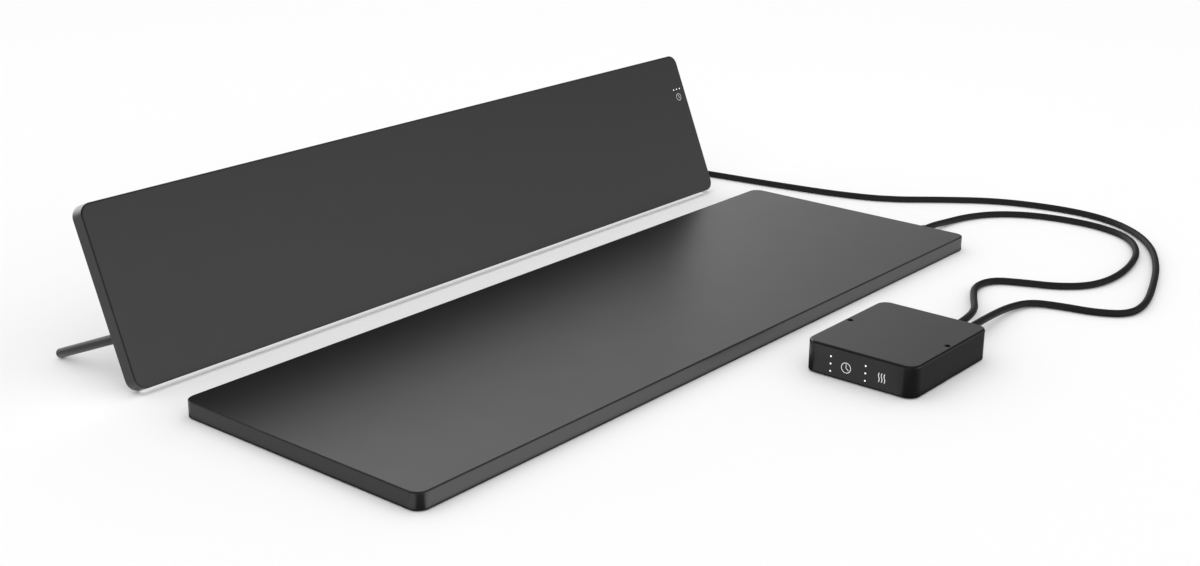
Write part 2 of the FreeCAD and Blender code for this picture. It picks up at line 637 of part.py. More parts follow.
def box_transformer():
    """Small transformer: its core has a window on each side of the middle limb."""
    core = moulded(on_board(TRANSFORMER_AT, TRANSFORMER))
    x, y = BOARD_X0 + TRANSFORMER_AT[0], TRANSFORMER_AT[1]
    outer = TRANSFORMER[0] / 2 - TRANSFORMER_LIMB
    windows = []
    for side in (-1, 1):
        near, far = sorted((x + side * TRANSFORMER_LIMB, x + side * outer))
        windows.append(block(near, far, y - TRANSFORMER[1], y + TRANSFORMER[1],
                             PCB_TOP + TRANSFORMER_LIMB, PCB_TOP + TRANSFORMER[2] - TRANSFORMER_LIMB))
    return core.cut(windows)


def box_capacitor():
    """Upright can with a rolled edge."""
    outline = [(0, 0), (CAPACITOR_R, 0), (CAPACITOR_R, CAPACITOR_H - CAPACITOR_ROLL),
               (CAPACITOR_R - CAPACITOR_ROLL, CAPACITOR_H), (0, CAPACITOR_H)]
    return turned(outline, V(BOARD_X0 + CAPACITOR_AT[0], CAPACITOR_AT[1], PCB_TOP), UP)


def fuse_point(along):
    """Point on the fuse's axis, measured from its middle."""
    return V(BOARD_X0 + FUSE_X + along, BOARD_W / 2 - FUSE_SIDE, PCB_TOP + FUSE_UP)


def box_fuse():
    """Glass fuse with a metal cap at each end."""
    glass = FUSE_R - FUSE_GLASS_IN
    outline = [(0, 0), (FUSE_R, 0), (FUSE_R, FUSE_CAP_L), (glass, FUSE_CAP_L), (glass, FUSE_L - FUSE_CAP_L),
               (FUSE_R, FUSE_L - FUSE_CAP_L), (FUSE_R, FUSE_L), (0, FUSE_L)]
    return turned(outline, fuse_point(-FUSE_L / 2), RIGHT)


def box_fuse_clips():
    """Two spring clips on the board that grip the fuse's caps."""
    bed_r = FUSE_R + FUSE_FIT
    outer_w = 2 * (bed_r + CLIP_T)
    made = []
    for end in (-1, 1):
        middle = fuse_point(end * (FUSE_L - FUSE_CAP_L) / 2)
        clip = around(middle.x, middle.y, CLIP_W, outer_w, PCB_TOP, middle.z + CLIP_T)
        bed = rod(bed_r, middle + LEFT * CLIP_W, middle + RIGHT * CLIP_W)
        mouth = around(middle.x, middle.y, 2 * CLIP_W, 2 * bed_r, middle.z, middle.z + FUSE_UP)
        made.append(clip.cut([bed, mouth]))
    return made


def box_terminals():
    """Terminal blocks for the leads, at the board's right end."""
    x = BOARD_X0 + BOARD_L - BOX_TERMINAL_END
    return [terminal_block(x, y, PCB_TOP) for y in BOX_TERMINAL_Y]


def box_feet():
    """Rubber feet under the base."""
    return [rod(BOX_FOOT_R, V(p.x, p.y, 0), V(p.x, p.y, BOX_FOOT_PROUD))
            for p in corner_points(BOX_L, BOX_W, BOX_FOOT_INSET, 0)]


def inlet_block(size, radius, x0, x1, spare=0.0):
    """Rounded block across the right wall at the inlet, from x0 to x1."""
    upright = rounded_block(size[1] + 2 * spare, size[0] + 2 * spare, radius, 0, x1 - x0)
    upright.Placement = FreeCAD.Placement(V(x0, INLET_Y, BOX_LEAD_Z), FreeCAD.Rotation(FAR, 90))
    return upright


def pin_points(x):
    """Axes of the two inlet pins at a given depth."""
    return [V(x, INLET_Y + s * PIN_PITCH / 2, BOX_LEAD_Z) for s in (-1, 1)]


def box_inlet():
    """Two-pole appliance inlet with a figure-eight recess."""
    wall = BOX_L / 2
    mouth = wall + INLET_FLANGE[2]
    body = inlet_block(INLET_BODY, INLET_BODY_CORNER_R, mouth - INLET_BODY[2], wall)
    flange = inlet_block(INLET_FLANGE, INLET_FLANGE_CORNER_R, wall, mouth)
    floor = mouth - INLET_DEPTH
    cuts = [rod(INLET_LOBE_R, p, V(mouth + PAST, p.y, p.z)) for p in pin_points(floor)]
    cuts.append(block(floor, mouth + PAST, INLET_Y - PIN_PITCH / 2, INLET_Y + PIN_PITCH / 2,
                      BOX_LEAD_Z - INLET_WAIST / 2, BOX_LEAD_Z + INLET_WAIST / 2))
    cuts += [rod(PIN_R + PIN_FIT, p + LEFT * INLET_BODY[2], p + RIGHT * PAST) for p in pin_points(floor)]
    return body.fuse(flange).removeSplitter().cut(cuts)


def box_inlet_pins():
    """Two round pins with chamfered tips, fixed in the floor of the inlet."""
    mouth = BOX_L / 2 + INLET_FLANGE[2]
    start = mouth - INLET_BODY[2] - PIN_TAIL
    length = INLET_BODY[2] + PIN_TAIL - PIN_SHORT
    outline = [(0, 0), (PIN_R, 0), (PIN_R, length - PIN_TIP), (PIN_R - PIN_TIP, length), (0, length)]
    return [turned(outline, p, RIGHT) for p in pin_points(start)]


def lead_ends(gland_point, outward, wall, place, distance):
    """First two points of a lead: inside its gland and on the gland's axis outside."""
    inside = gland_point - outward * (wall + GLAND_FLANGE_T + LEAD_INSIDE)
    outside = gland_point + outward * distance
    return [place.multVec(inside), place.multVec(outside)]


# Routes of the two leads over the desk, from their glands to the box
LEAD_Z = LEAD_R + LEAD_CLEAR
PANEL_LEAD_OUT = 23.5    # straight out of each gland
PAD_LEAD_OUT = 25.0
BOX_LEAD_OUT = 25.0
PANEL_ROUTE = [
    (344, 242.5, 8.9), (355, 259, 4.6), (373, 267.5, LEAD_Z), (393.5, 265.5, LEAD_Z),
    (410.5, 254, LEAD_Z), (419, 234, LEAD_Z),
    (424, 207, LEAD_Z), (429, 168, LEAD_Z), (437.5, 115, LEAD_Z), (448, 58, LEAD_Z), (466, 6, LEAD_Z),
    (504, -39, LEAD_Z), (537, -84, LEAD_Z), (553, -135, LEAD_Z), (556, -186, LEAD_Z), (539, -231, LEAD_Z),
    (500, -272, LEAD_Z), (442, -303, LEAD_Z), (380, -325, LEAD_Z), (328, -340, LEAD_Z), (295, -339, LEAD_Z),
    (280, -315, LEAD_Z), (275, -285, LEAD_Z), (266, -259, 3.6), (237, -252, 5), (196, -255.5, 9.5)]
PAD_ROUTE = [
    (430, -82.5, 3.8), (463, -89, LEAD_Z), (493, -106, LEAD_Z), (514, -136, LEAD_Z), (523, -174, LEAD_Z),
    (522, -212, LEAD_Z), (506, -248, LEAD_Z), (468, -273, LEAD_Z), (420, -285.5, LEAD_Z),
    (376, -288, LEAD_Z), (343, -280, LEAD_Z), (322, -258, LEAD_Z), (311, -228, LEAD_Z), (299, -204, LEAD_Z),
    (272, -200, LEAD_Z), (235, -219, 6), (196, -241, 10.5)]


def tube(name, points):
    """Round tube along straight runs joined by tangent arcs, each as large as its two runs allow."""
    edges = []
    radii = []
    last = points[0]
    for before, corner, after in zip(points, points[1:], points[2:]):
        back = (before - corner).normalize()
        ahead = (after - corner).normalize()
        inside_angle = back.getAngle(ahead)
        trim = LEAD_TURN_SHARE * min((before - corner).Length, (after - corner).Length)
        radius = trim * math.tan(inside_angle / 2)
        start = corner + back * trim
        end = corner + ahead * trim
        inward = (back + ahead).normalize()
        middle = corner + inward * (radius / math.sin(inside_angle / 2) - radius)
        edges.append(Part.LineSegment(last, start).toShape())
        edges.append(Part.Arc(start, middle, end).toShape())
        radii.append(radius)
        last = end
    edges.append(Part.LineSegment(last, points[-1]).toShape())
    path = Part.Wire(edges)
    length = path.Length
    section = Part.Wire(Part.Circle(points[0], points[1] - points[0], LEAD_R).toShape())
    solid = path.makePipeShell([section], True, False)
    ideal = math.pi * LEAD_R ** 2 * length
    print(name, "length", round(length, 1), "volume ratio", round(solid.Volume / ideal, 5))
    print(name, "radii", [round(r) for r in radii])
    print(name, "runs", [round((b - a).Length) for a, b in zip(points, points[1:])])
    return solid


def lead(name, start, route, box_gland):
    """Lead from a unit's gland over the desk to its gland in the box."""
    end = lead_ends(box_gland, RIGHT, BOX_WALL, BOX_PLACE, BOX_LEAD_OUT)
    points = start + [V(*p) for p in route] + end[::-1]
    return tube(name, points)


def panel_nodes():
    """Pieces of the upright panel, in its own frame."""
    nodes = {
        "panel_front_shell": [panel_shell()],
        "panel_back_plate": [panel_back()],
        "panel_heating_foil": [heating_foil(PANEL_W, PANEL_FOIL_END, PANEL_GLAND.y)],
        "panel_insulation": [insulation(PANEL_W, panel_pockets())],
        "panel_posts": posts(PANEL_W),
        "panel_screws": back_screws(PANEL_W),
        "panel_terminal_block": [terminal_block(PANEL_TERMINAL_X, PANEL_GLAND.y, BACK_Z)],
        "panel_thermal_cutout": [thermal_cutout(PANEL_CUTOUT_X, 0)],
        "panel_cable_gland": [gland(PANEL_GLAND, DOWN, BACK_T)],
        "panel_touch_board": [panel_board()],
        "panel_light_pipes": dot_pipes(PANEL_DOTS, UP, SHEET_T),
        "foot_sockets": [foot_socket(root) for root in ROD_ROOTS.values()],
    }
    for side, root in ROD_ROOTS.items():
        nodes["foot_washer_" + side] = [foot_washer(root)]
        nodes["foot_rod_" + side] = [foot_rod(root)]
    return nodes


def pad_nodes():
    """Pieces of the heating pad, in its own frame."""
    return {
        "pad_front_shell": [pad_shell()],
        "pad_back_plate": [back_plate(PAD_W)],
        "pad_heating_foil": [heating_foil(PAD_W, PAD_FOIL_END, PAD_GLAND.y)],
        "pad_insulation": [insulation(PAD_W, pad_pockets())],
        "pad_posts": posts(PAD_W),
        "pad_screws": back_screws(PAD_W),
        "pad_terminal_block": [terminal_block(PAD_TERMINAL_X, PAD_GLAND.y, BACK_Z)],
        "pad_thermal_cutout": [thermal_cutout(PAD_CUTOUT_X, 0)],
        "pad_cable_gland": [gland(PAD_GLAND, RIGHT, SHEET_T)],
        "pad_feet": pad_feet(),
    }


def box_nodes():
    """Pieces of the control box, in its own frame."""
    return {
        "box_housing": [box_housing()],
        "box_base": [box_base()],
        "box_base_screws": [countersunk(p, UP) for p in base_screw_starts()],
        "box_feet": box_feet(),
        "box_touch_board": [box_touch_board()],
        "box_light_pipes": dot_pipes(BOX_DOTS, LEFT, BOX_WALL),
        "box_power_board": [box_power_board()],
        "box_board_screws": [pan_screw(p) for p in board_screw_points()],
        "box_relays": box_relays(),
        "box_transformer": [box_transformer()],
        "box_capacitor": [box_capacitor()],
        "box_fuse": [box_fuse()],
        "box_fuse_clips": box_fuse_clips(),
        "box_terminal_blocks": box_terminals(),
        "box_cable_glands": [gland(p, RIGHT, BOX_WALL) for p in BOX_GLANDS],
        "box_inlet": [box_inlet()],
        "box_inlet_pins": box_inlet_pins(),
    }


def lead_nodes():
    """The two leads, on the desk."""
    panel_start = lead_ends(PANEL_GLAND, DOWN, BACK_T, PANEL_PLACE, PANEL_LEAD_OUT)
    pad_start = lead_ends(PAD_GLAND, RIGHT, SHEET_T, PAD_PLACE, PAD_LEAD_OUT)
    return {
        "panel_cable": [lead("panel_cable", panel_start, PANEL_ROUTE, BOX_GLANDS[0])],
        "pad_cable": [lead("pad_cable", pad_start, PAD_ROUTE, BOX_GLANDS[1])],
    }


def export(nodes, place):
    """Write each node as one STEP file, its solids moved to the desk."""
    for name, solids in nodes.items():
        moved = [placed(solid, place) for solid in solids]
        shape = moved[0] if len(moved) == 1 else Part.makeCompound(moved)
        shape.exportStep("parts/" + name + ".step")


os.makedirs("parts", exist_ok=True)
export(panel_nodes(), PANEL_PLACE)
export(pad_nodes(), PAD_PLACE)
export(box_nodes(), BOX_PLACE)
export(lead_nodes(), FreeCAD.Placement())
print("set depth", round(SET_DEPTH, 2), "rod reach", round(ROD_REACH, 2))
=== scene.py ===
# %% [markdown]
# # A desk heater set: panel, pad and control box
# The set has three units on a desk: a long warming panel that leans back on two screw-in rods, a flat
# heating pad and a low control box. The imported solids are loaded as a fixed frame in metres, and each
# visible unit then gets a finer skin, its own finish, and the small things that repeat.

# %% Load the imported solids
import math

import bmesh
import bpy
from mathutils import Matrix, Vector


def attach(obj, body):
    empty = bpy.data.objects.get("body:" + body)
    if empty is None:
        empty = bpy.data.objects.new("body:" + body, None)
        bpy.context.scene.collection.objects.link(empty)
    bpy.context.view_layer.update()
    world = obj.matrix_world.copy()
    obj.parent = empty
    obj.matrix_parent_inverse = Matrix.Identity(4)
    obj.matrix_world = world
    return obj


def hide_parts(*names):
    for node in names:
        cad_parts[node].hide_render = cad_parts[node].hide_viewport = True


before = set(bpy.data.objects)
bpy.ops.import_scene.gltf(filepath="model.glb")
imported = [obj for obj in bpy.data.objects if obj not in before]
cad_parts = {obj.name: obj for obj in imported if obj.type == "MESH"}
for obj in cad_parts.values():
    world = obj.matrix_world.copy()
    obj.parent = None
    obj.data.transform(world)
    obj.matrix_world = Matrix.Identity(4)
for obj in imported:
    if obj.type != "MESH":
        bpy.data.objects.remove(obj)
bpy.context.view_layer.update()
scene = bpy.context.scene
scene.view_settings.view_transform = "Standard"
MM = 0.001

# %% [markdown]
# ## Where the units stand
# Sizes come first, because the lamps, the cards and every skin use them. They repeat the ones that the
# solids were made from, in millimetres, so that a skin fits its solid without any fitting by eye.

# %% Sizes and places of the three units
UNIT_L, UNIT_T = 750.0, 14.0
PANEL_W, PAD_W = 150.0, 250.0
LEAN = math.radians(22.4)
PAD_Y, PAD_RAISE = -10.444, 0.6
PANEL_EDGE = Vector((0, 169.256, 5.121))
BOX_L, BOX_W = 120.5, 100.5
BOX_AT = Vector((66.4, -239.094, 0))
shift = Matrix.Translation

# From each unit's own millimetres to the frame's metres
to_metres = Matrix.Scale(MM, 4)
panel_turn = Matrix.Rotation(math.radians(90) - LEAN, 4, "X")
panel_origin = PANEL_EDGE - panel_turn @ Vector((0, -PANEL_W / 2, UNIT_T))
PANEL = to_metres @ shift(panel_origin) @ panel_turn
PAD = to_metres @ shift((0, PAD_Y, PAD_RAISE))
BOX = to_metres @ shift(BOX_AT)
print("panel leans", round(math.degrees(LEAN), 1), "degrees; pad top at", PAD_RAISE + UNIT_T, "mm")

# %% [markdown]
# ## Camera
# The photo was taken from the front left, a little above the desk, with a normal lens. The place and the
# lens were worked out from edges and corners of the units, so parallel edges meet where they should.

# %% Camera at the photo's place
CAMERA_AT = Vector((-1.0890, -0.8778, 0.5207))
CAMERA_TARGET = Vector((0.0636, 0.0716, 0.0))
CAMERA_ROLL = math.radians(0.407)
CAMERA_LENS, CAMERA_SENSOR = 51.455, 36.0
UP = Vector((0, 0, 1))


def new_piece(name, data):
    """Object for a camera, a lamp, a mesh or a curve."""
    piece = bpy.data.objects.new(name, data)
    scene.collection.objects.link(piece)
    return piece


view = (CAMERA_TARGET - CAMERA_AT).normalized()
horizon = view.cross(UP).normalized()
upright = Matrix((horizon, horizon.cross(view), -view)).transposed()
camera_data = bpy.data.cameras.new("camera")
camera_data.lens = CAMERA_LENS
camera_data.sensor_width = CAMERA_SENSOR
camera_data.sensor_fit = "HORIZONTAL"
camera = new_piece("camera", camera_data)
camera.matrix_world = (upright @ Matrix.Rotation(CAMERA_ROLL, 3, "Z")).to_4x4()
camera.location = CAMERA_AT
scene.camera = camera
print("camera", round((CAMERA_TARGET - CAMERA_AT).length, 3), "m from its target")

# %% [markdown]
# ## Writing shaders as sums
# A finish is mostly arithmetic on noise. Adding each Math node by hand hides that, so a small class wraps
# a socket and turns Python's operators into Math nodes. Every other node comes from one method.


# %% A socket that can be added and multiplied
class Value:
    """An output socket of a node tree, with arithmetic."""

    def __init__(self, tree, socket):
        self.tree = tree
        self.socket = socket

    def _with(self, operation, first, second):
        node = self.tree.nodes.new("ShaderNodeMath")
        node.operation = operation
        for slot, value in zip(node.inputs, (first, second)):
            link_or_set(self.tree, slot, value)
        return Value(self.tree, node.outputs[0])

    def __add__(self, other):
        return self._with("ADD", self, other)

    def __sub__(self, other):
        return self._with("SUBTRACT", self, other)

    def __rsub__(self, other):
        return self._with("SUBTRACT", other, self)

    def __mul__(self, other):
        return self._with("MULTIPLY", self, other)

    def largest(self, other):
        return self._with("MAXIMUM", self, other)

    def angle_over(self, other):
        return self._with("ARCTAN2", self, other)

    def others(self, *names):
        """Outputs of the same node, by name."""
        return [Value(self.tree, self.socket.node.outputs[name]) for name in names]

    __radd__ = __add__
    __rmul__ = __mul__


def link_or_set(tree, slot, value):
    """Link a wrapped socket to an input, or write a plain value into it."""
    if isinstance(value, Value):
        tree.links.new(value.socket, slot)
    else:
        slot.default_value = value


# %% One method for every other node
NOISE_ROUGHNESS = 0.55


class Shader:
    """The node tree of one material or of the world."""

    def __init__(self, owner):
        owner.use_nodes = True
        self.tree = owner.node_tree
        self.tree.nodes.clear()

    def node(self, kind, settings=None, inputs=None, output=0):
        """Add a node, write its settings, then its inputs by name or number; give one output back."""
        made = self.tree.nodes.new("ShaderNode" + kind)
        for name, value in (settings or {}).items():
            if name == "stops":
                for stop, (place, colour) in zip(self.ramp_stops(made, len(value)), value):
                    stop.position, stop.color = place, colour
            else:
                setattr(made, name, value)
        for name, value in (inputs or {}).items():
            link_or_set(self.tree, made.inputs[name], value)
        return Value(self.tree, made.outputs[output]) if made.outputs else None

    def ramp_stops(self, ramp, count):
        """As many stops on a colour ramp as it needs."""
        while len(ramp.color_ramp.elements) < count:
            ramp.color_ramp.elements.new(0.5)
        return ramp.color_ramp.elements

    def place(self):
        """Object coordinates, which stay with the piece."""
        return self.node("TexCoord", output="Object")

    def noise(self, grain, detail=3.0, stretch=None):
        """Noise whose grains are about this many metres across."""
        where = self.place()
        if stretch:
            where = self.node("Mapping", inputs={"Vector": where, "Scale": stretch})
        inputs = {"Vector": where, "Scale": 1 / grain, "Detail": detail, "Roughness": NOISE_ROUGHNESS}
        return self.node("TexNoise", inputs=inputs, output="Fac")

    def blend(self, factor, first, second):
        """Colour between two colours."""
        return self.node("Mix", {"data_type": "RGBA"}, {0: factor, 6: first, 7: second}, output=2)

    def bump(self, height, depth, strength):
        """Normal from a height field whose full swing is depth metres."""
        return self.node("Bump", inputs={"Height": height, "Distance": depth, "Strength": strength})

    def surface(self, **inputs):
        """Principled surface; a name's underscores stand for blanks."""
        named = {name.replace("_", " "): value for name, value in inputs.items()}
        self.result(self.node("BsdfPrincipled", inputs=named))

    def result(self, shader, kind="OutputMaterial"):
        """Make a shader the one that the tree puts out."""
        self.node(kind, inputs={"Surface": shader})


def grey(level):
    """Neutral colour of one linear level."""
    return (level, level, level, 1.0)


FINISHES = {}


def new_finish(name):
    """New material in the list of finishes, and its shader."""
    FINISHES[name] = bpy.data.materials.new(name)
    return Shader(FINISHES[name])


print("shader helpers ready")

# %% [markdown]
# ## Floor, backdrop and light
# The set stands on a white table under an even white sky, so its shadow is soft and darkest at the edges.
# A dark finish shows hardly any of its own colour: it shows the room. So the reflected room is drawn with
# care: white paper up to a good height, dark above it, and some sides of the room darker than others. The
# dark parts draw the thin lines along the rounded edges.

# %% Sides of the room
# Compass direction in degrees from +X, how bright the reflected paper is there, and the sine of the
# height where it ends.
PAPER_SIDES = ((-180, 0.1, 0.3), (-150, 0.1, 0.3), (-123, 0.05, 0.3), (-95, 0.6, 0.4), (-70, 1.5, 0.46),
               (-55, 1.5, 0.44), (-44, 1.12, 0.40), (-36, 0.66, 0.35), (-27, 0.2, 0.25), (-10, 0.1, 0.25),
               (12, 0.2, 0.45), (25, 0.46, 0.62), (31, 0.66, 0.66), (37, 0.98, 0.69), (46, 1.35, 0.7),
               (75, 3.0, 0.6), (100, 3.6, 0.5), (115, 1.2, 0.4), (132, 0.15, 0.3), (180, 0.1, 0.3))
RAMP_TOP = 4.0          # a ramp holds levels up to 1, so they are written as shares of this


def side_of_room(shader, heading):
    """How bright the room is where a heading points, and how high its paper reaches there."""
    x, y = shader.node("SeparateXYZ", inputs={0: heading}).others("X", "Y")
    turn = y.angle_over(x) * (0.5 / math.pi) + 0.5
    stops = [((degrees + 180) / 360, (bright / RAMP_TOP, end, 0, 1)) for degrees, bright, end in PAPER_SIDES]
    ramp = shader.node("ValToRGB", {"stops": stops}, {0: turn})
    share, paper_end = shader.node("SeparateColor", inputs={0: ramp}).others("Red", "Green")
    return share * RAMP_TOP, paper_end


def kinds_of_ray(shader):
    """What a ray came from: the camera, a reflection or glass."""
    return shader.node("LightPath").others("Is Camera Ray", "Is Glossy Ray", "Is Transmission Ray")


print(len(PAPER_SIDES), "sides of the room")

# %% Floor that keeps the shadow
FLOOR_HALF, FLOOR_WHITE, FLOOR_OWN_LIGHT = 12.0, 0.86, 0.06
SQUARE = ((-1, -1), (1, -1), (1, 1), (-1, 1))

floor_mesh = bpy.data.meshes.new("floor")
corners = [(sx * FLOOR_HALF, sy * FLOOR_HALF, 0) for sx, sy in SQUARE]
floor_mesh.from_pydata(corners, [], [(0, 1, 2, 3)])
new_piece("floor", floor_mesh)

paper = new_finish("floor_paper")
matt = paper.node("BsdfDiffuse", inputs={"Color": grey(FLOOR_WHITE)})
own = paper.node("Emission", inputs={"Color": grey(1.0), "Strength": 1.0})
seen, mirrored, through = kinds_of_ray(paper)
share = seen.largest(mirrored).largest(through) * FLOOR_OWN_LIGHT
paper.result(paper.node("MixShader", inputs={0: share, 1: matt, 2: own}))
floor_mesh.materials.append(FINISHES["floor_paper"])
print("floor", 2 * FLOOR_HALF, "m across")

# %% White paper below, dark room above
PAPER_FADE = 0.08
ROOM_DARK = 0.03
SKY = 1.10              # even light on matt surfaces

scene.world = bpy.data.worlds.new("studio")
room = Shader(scene.world)
heading = room.node("TexCoord", output="Generated")
height = room.node("SeparateXYZ", inputs={0: heading}, output="Z")
bright, paper_end = side_of_room(room, heading)
rise = room.node("MapRange", {"interpolation_type": "SMOOTHSTEP"},
                 {0: height - paper_end, 1: -PAPER_FADE, 2: PAPER_FADE})
paper_light = (1 - rise) * (1 - ROOM_DARK) * bright + ROOM_DARK
seen, mirrored, through = kinds_of_ray(room)
for_matt = room.node("Background", inputs={"Color": grey(1.0), "Strength": SKY})
for_gloss = room.node("Background", inputs={"Color": paper_light, "Strength": 1.0})
for_eye = room.node("Background", inputs={"Color": grey(1.0), "Strength": 1.0})
lit = room.node("MixShader", inputs={0: mirrored, 1: for_matt, 2: for_gloss})
room.result(room.node("MixShader", inputs={0: seen.largest(through), 1: lit, 2: for_eye}), "OutputWorld")
print("even light", SKY)

# %% Soft lamp overhead
OVERHEAD_AT, OVERHEAD_SIZE, OVERHEAD_POWER = Vector((0.1, 0.2, 2.4)), (2.2, 2.2), 5.0


def softbox(name, place, way, size, power):
    """Rectangular lamp at a place that shines along a way; sizes in metres, power in watts."""
    lamp = bpy.data.lights.new(name, "AREA")
    lamp.shape = "RECTANGLE"
    lamp.size, lamp.size_y = size
    lamp.energy = power
    piece = new_piece(name, lamp)
    piece.location = place
    piece.rotation_euler = way.to_track_quat("-Z", "Y").to_euler()
    return piece


softbox("overhead", OVERHEAD_AT, -OVERHEAD_AT, OVERHEAD_SIZE, OVERHEAD_POWER)
print("overhead lamp", OVERHEAD_POWER, "W")

# %% [markdown]
# Helpers stay out of the picture, as in any product studio. A narrow strip lights the desk under the
# panel's lower edge, so that the edge stands out. Two small lamps lift the shadow beside the panel's left
# end and the underside of its rod. Flat cards lie on the desk where only reflections can see them, the
# first of the list on top. A white one lifts the pad's front wall, a black wedge draws the dark stripe on
# its near corner, black bands round pad and box darken their lower edges, and grey ones calm the end walls
# and keep the box's front darker than its top.

# %% Small lamps out of view
under_panel = Vector((0, -math.sin(LEAN), -math.cos(LEAN)))
SMALL_LAMPS = {
    "strip": (Vector((0.0, 0.1772, 0.0014)), under_panel, (0.735, 0.0062), 0.0115),
    "end_fill": (Vector((-0.392, 0.212, 0.065)), -UP, (0.04, 0.06), 0.0058),
    "rod_glow": (Vector((-0.360, 0.245, 0.001)), UP, (0.030, 0.09), 0.036),
}
for name, (place, way, size, power) in SMALL_LAMPS.items():
    lamp = softbox(name, place, way, size, power)
    lamp.visible_camera = lamp.visible_glossy = False
print(len(SMALL_LAMPS), "small lamps")

# %% Plan of the cards on the desk
BAND = 2.5


def band_round(x, y, length, width):
    """Corners in metres of a rectangle that goes a band beyond a unit in millimetres."""
    half_l, half_w = length / 2 + BAND, width / 2 + BAND
    return [(MM * (x + sx * half_l), MM * (y + sy * half_w)) for sx, sy in SQUARE]


# Outline, and how bright: one level, or a list of (x, level) from left to right.
CARDS = {
    "box_shade": (band_round(BOX_AT.x, BOX_AT.y, BOX_L, BOX_W), 0.0),
    "box_far_card": ([(0.010, -0.1885), (0.004, -0.194), (-0.03, -0.176), (-0.03, -0.158), (0.075, -0.158),
                      (0.075, -0.1885)], 0.05),
    "white_card": ([(-0.3675, -0.138), (-0.3655, -0.175), (0.40, -0.175), (0.40, -0.138)],
                   [(-0.3675, 1.5), (0.0, 1.05), (0.40, 0.88)]),
    "black_wedge": ([(-0.3752, -0.1315), (-0.434, -0.158), (-0.368, -0.2), (-0.3637, -0.1362)], 0.0),
    "pad_shade": (band_round(0, PAD_Y, UNIT_L, PAD_W), 0.0),
    "box_card": ([(0.004, -0.277), (-0.09, -0.234), (-0.3, -0.9), (1.2, -0.9), (1.2, -0.2915),
                  (0.016, -0.2915)], [(-0.3, 0.03), (0.012, 0.03), (0.035, 0.19), (1.2, 0.19)]),
    "box_left_card": ([(0.004, -0.284), (0.004, -0.196), (-0.05, -0.176), (-0.12, -0.176),
                       (-0.12, -0.284)], 0.68),
    "left_card": ([(-0.377, -0.12), (-0.377, 1.2), (-1.2, 1.2), (-1.2, -0.12)], 0.6),
}
print(len(CARDS), "cards planned")

# %% Cards that only reflections see
CARD_Z, CARD_STEP = 0.0006, 0.00005


def card(name, outline, levels, height):
    """Card on the desk, hidden from all but reflections."""
    mesh = bpy.data.meshes.new(name)
    mesh.from_pydata([(x, y, height) for x, y in outline], [], [list(range(len(outline)))])
    sheet = new_piece(name, mesh)
    sheet.visible_camera = sheet.visible_diffuse = sheet.visible_shadow = sheet.visible_transmission = False
    shader = new_finish(name)
    if isinstance(levels, list):
        first, last = levels[0][0], levels[-1][0]
        across = shader.node("SeparateXYZ", inputs={0: shader.place()}, output="X")
        stops = [((x - first) / (last - first), grey(level / RAMP_TOP)) for x, level in levels]
        glow = shader.node("ValToRGB", {"stops": stops}, {0: (across - first) * (1 / (last - first))})
    else:
        glow = grey(levels / RAMP_TOP)
    shader.result(shader.node("Emission", inputs={"Color": glow, "Strength": RAMP_TOP}))
    mesh.materials.append(FINISHES[name])


for i, (name, (outline, levels)) in enumerate(CARDS.items()):
    card(name, outline, levels, CARD_Z - i * CARD_STEP)
print("cards up to", CARD_Z, "m high")

# %% [markdown]
# ## Finishes with a grain
# Powder coat, moulded plastic and rubber are all dark and nearly even; what tells them apart is the size
# of their grain and how far it scatters a reflection. One recipe makes them all: a cloudy noise moves the
# colour and the roughness a little, and a fine noise lifts the surface by hundredths of a millimetre.

# %% One recipe for coats, mouldings and rubber
CLOUD_SHARE, GRAIN_LIFT = 0.6, 0.6


def grained(name, dark, pale, grain, depth, rough, ior, cloud=0.03):
    """Even surface with a fine grain; sizes in metres, rough is a pair of limits."""
    shader = new_finish(name)
    clouds = shader.noise(cloud)
    fine = shader.noise(grain, detail=2.0)
    both = clouds * CLOUD_SHARE + fine * (1 - CLOUD_SHARE)
    shader.surface(Base_Color=shader.blend(both, dark, pale),
                   Roughness=clouds * (rough[1] - rough[0]) + rough[0],
                   IOR=ior,
                   Normal=shader.bump(fine, depth, GRAIN_LIFT))


grained("shell_coat", grey(0.0095), grey(0.0135), 0.00035, 0.000012, (0.31, 0.36), 1.56)
grained("back_coat", grey(0.012), grey(0.019), 0.0006, 0.00003, (0.55, 0.65), 1.45)
grained("rod_coat", grey(0.028), grey(0.034), 0.0003, 0.000008, (0.45, 0.52), 1.25, cloud=0.008)
grained("box_moulding", grey(0.0055), grey(0.0085), 0.00045, 0.000012, (0.31, 0.36), 1.53)
grained("foot_rubber", grey(0.012), grey(0.022), 0.0005, 0.00004, (0.7, 0.8), 1.45, cloud=0.005)
grained("gland_rubber", grey(0.010), grey(0.016), 0.0004, 0.00002, (0.5, 0.6), 1.45, cloud=0.005)
grained("inlet_moulding", grey(0.006), grey(0.010), 0.0004, 0.00001, (0.35, 0.45), 1.45, cloud=0.006)
grained("cream_moulding", (0.62, 0.60, 0.52, 1), (0.72, 0.70, 0.63, 1), 0.0005, 0.00001, (0.4, 0.5), 1.5)
grained("relay_case", (0.02, 0.06, 0.22, 1), (0.03, 0.08, 0.28, 1), 0.0004, 0.00001, (0.3, 0.4), 1.5)
grained("ferrite_core", (0.03, 0.028, 0.026, 1), (0.06, 0.055, 0.05, 1), 0.0003, 0.00004, (0.6, 0.75), 1.6)
grained("print_white", grey(0.80), grey(0.88), 0.0002, 0.000004, (0.45, 0.55), 1.45, cloud=0.002)
print(len(FINISHES), "finishes so far")

# %% [markdown]
# Metals differ from coats in two ways: they tint what they reflect, and their grain runs one way. A noise
# that is stretched along one axis gives turned, rolled or drawn metal its fine lines.

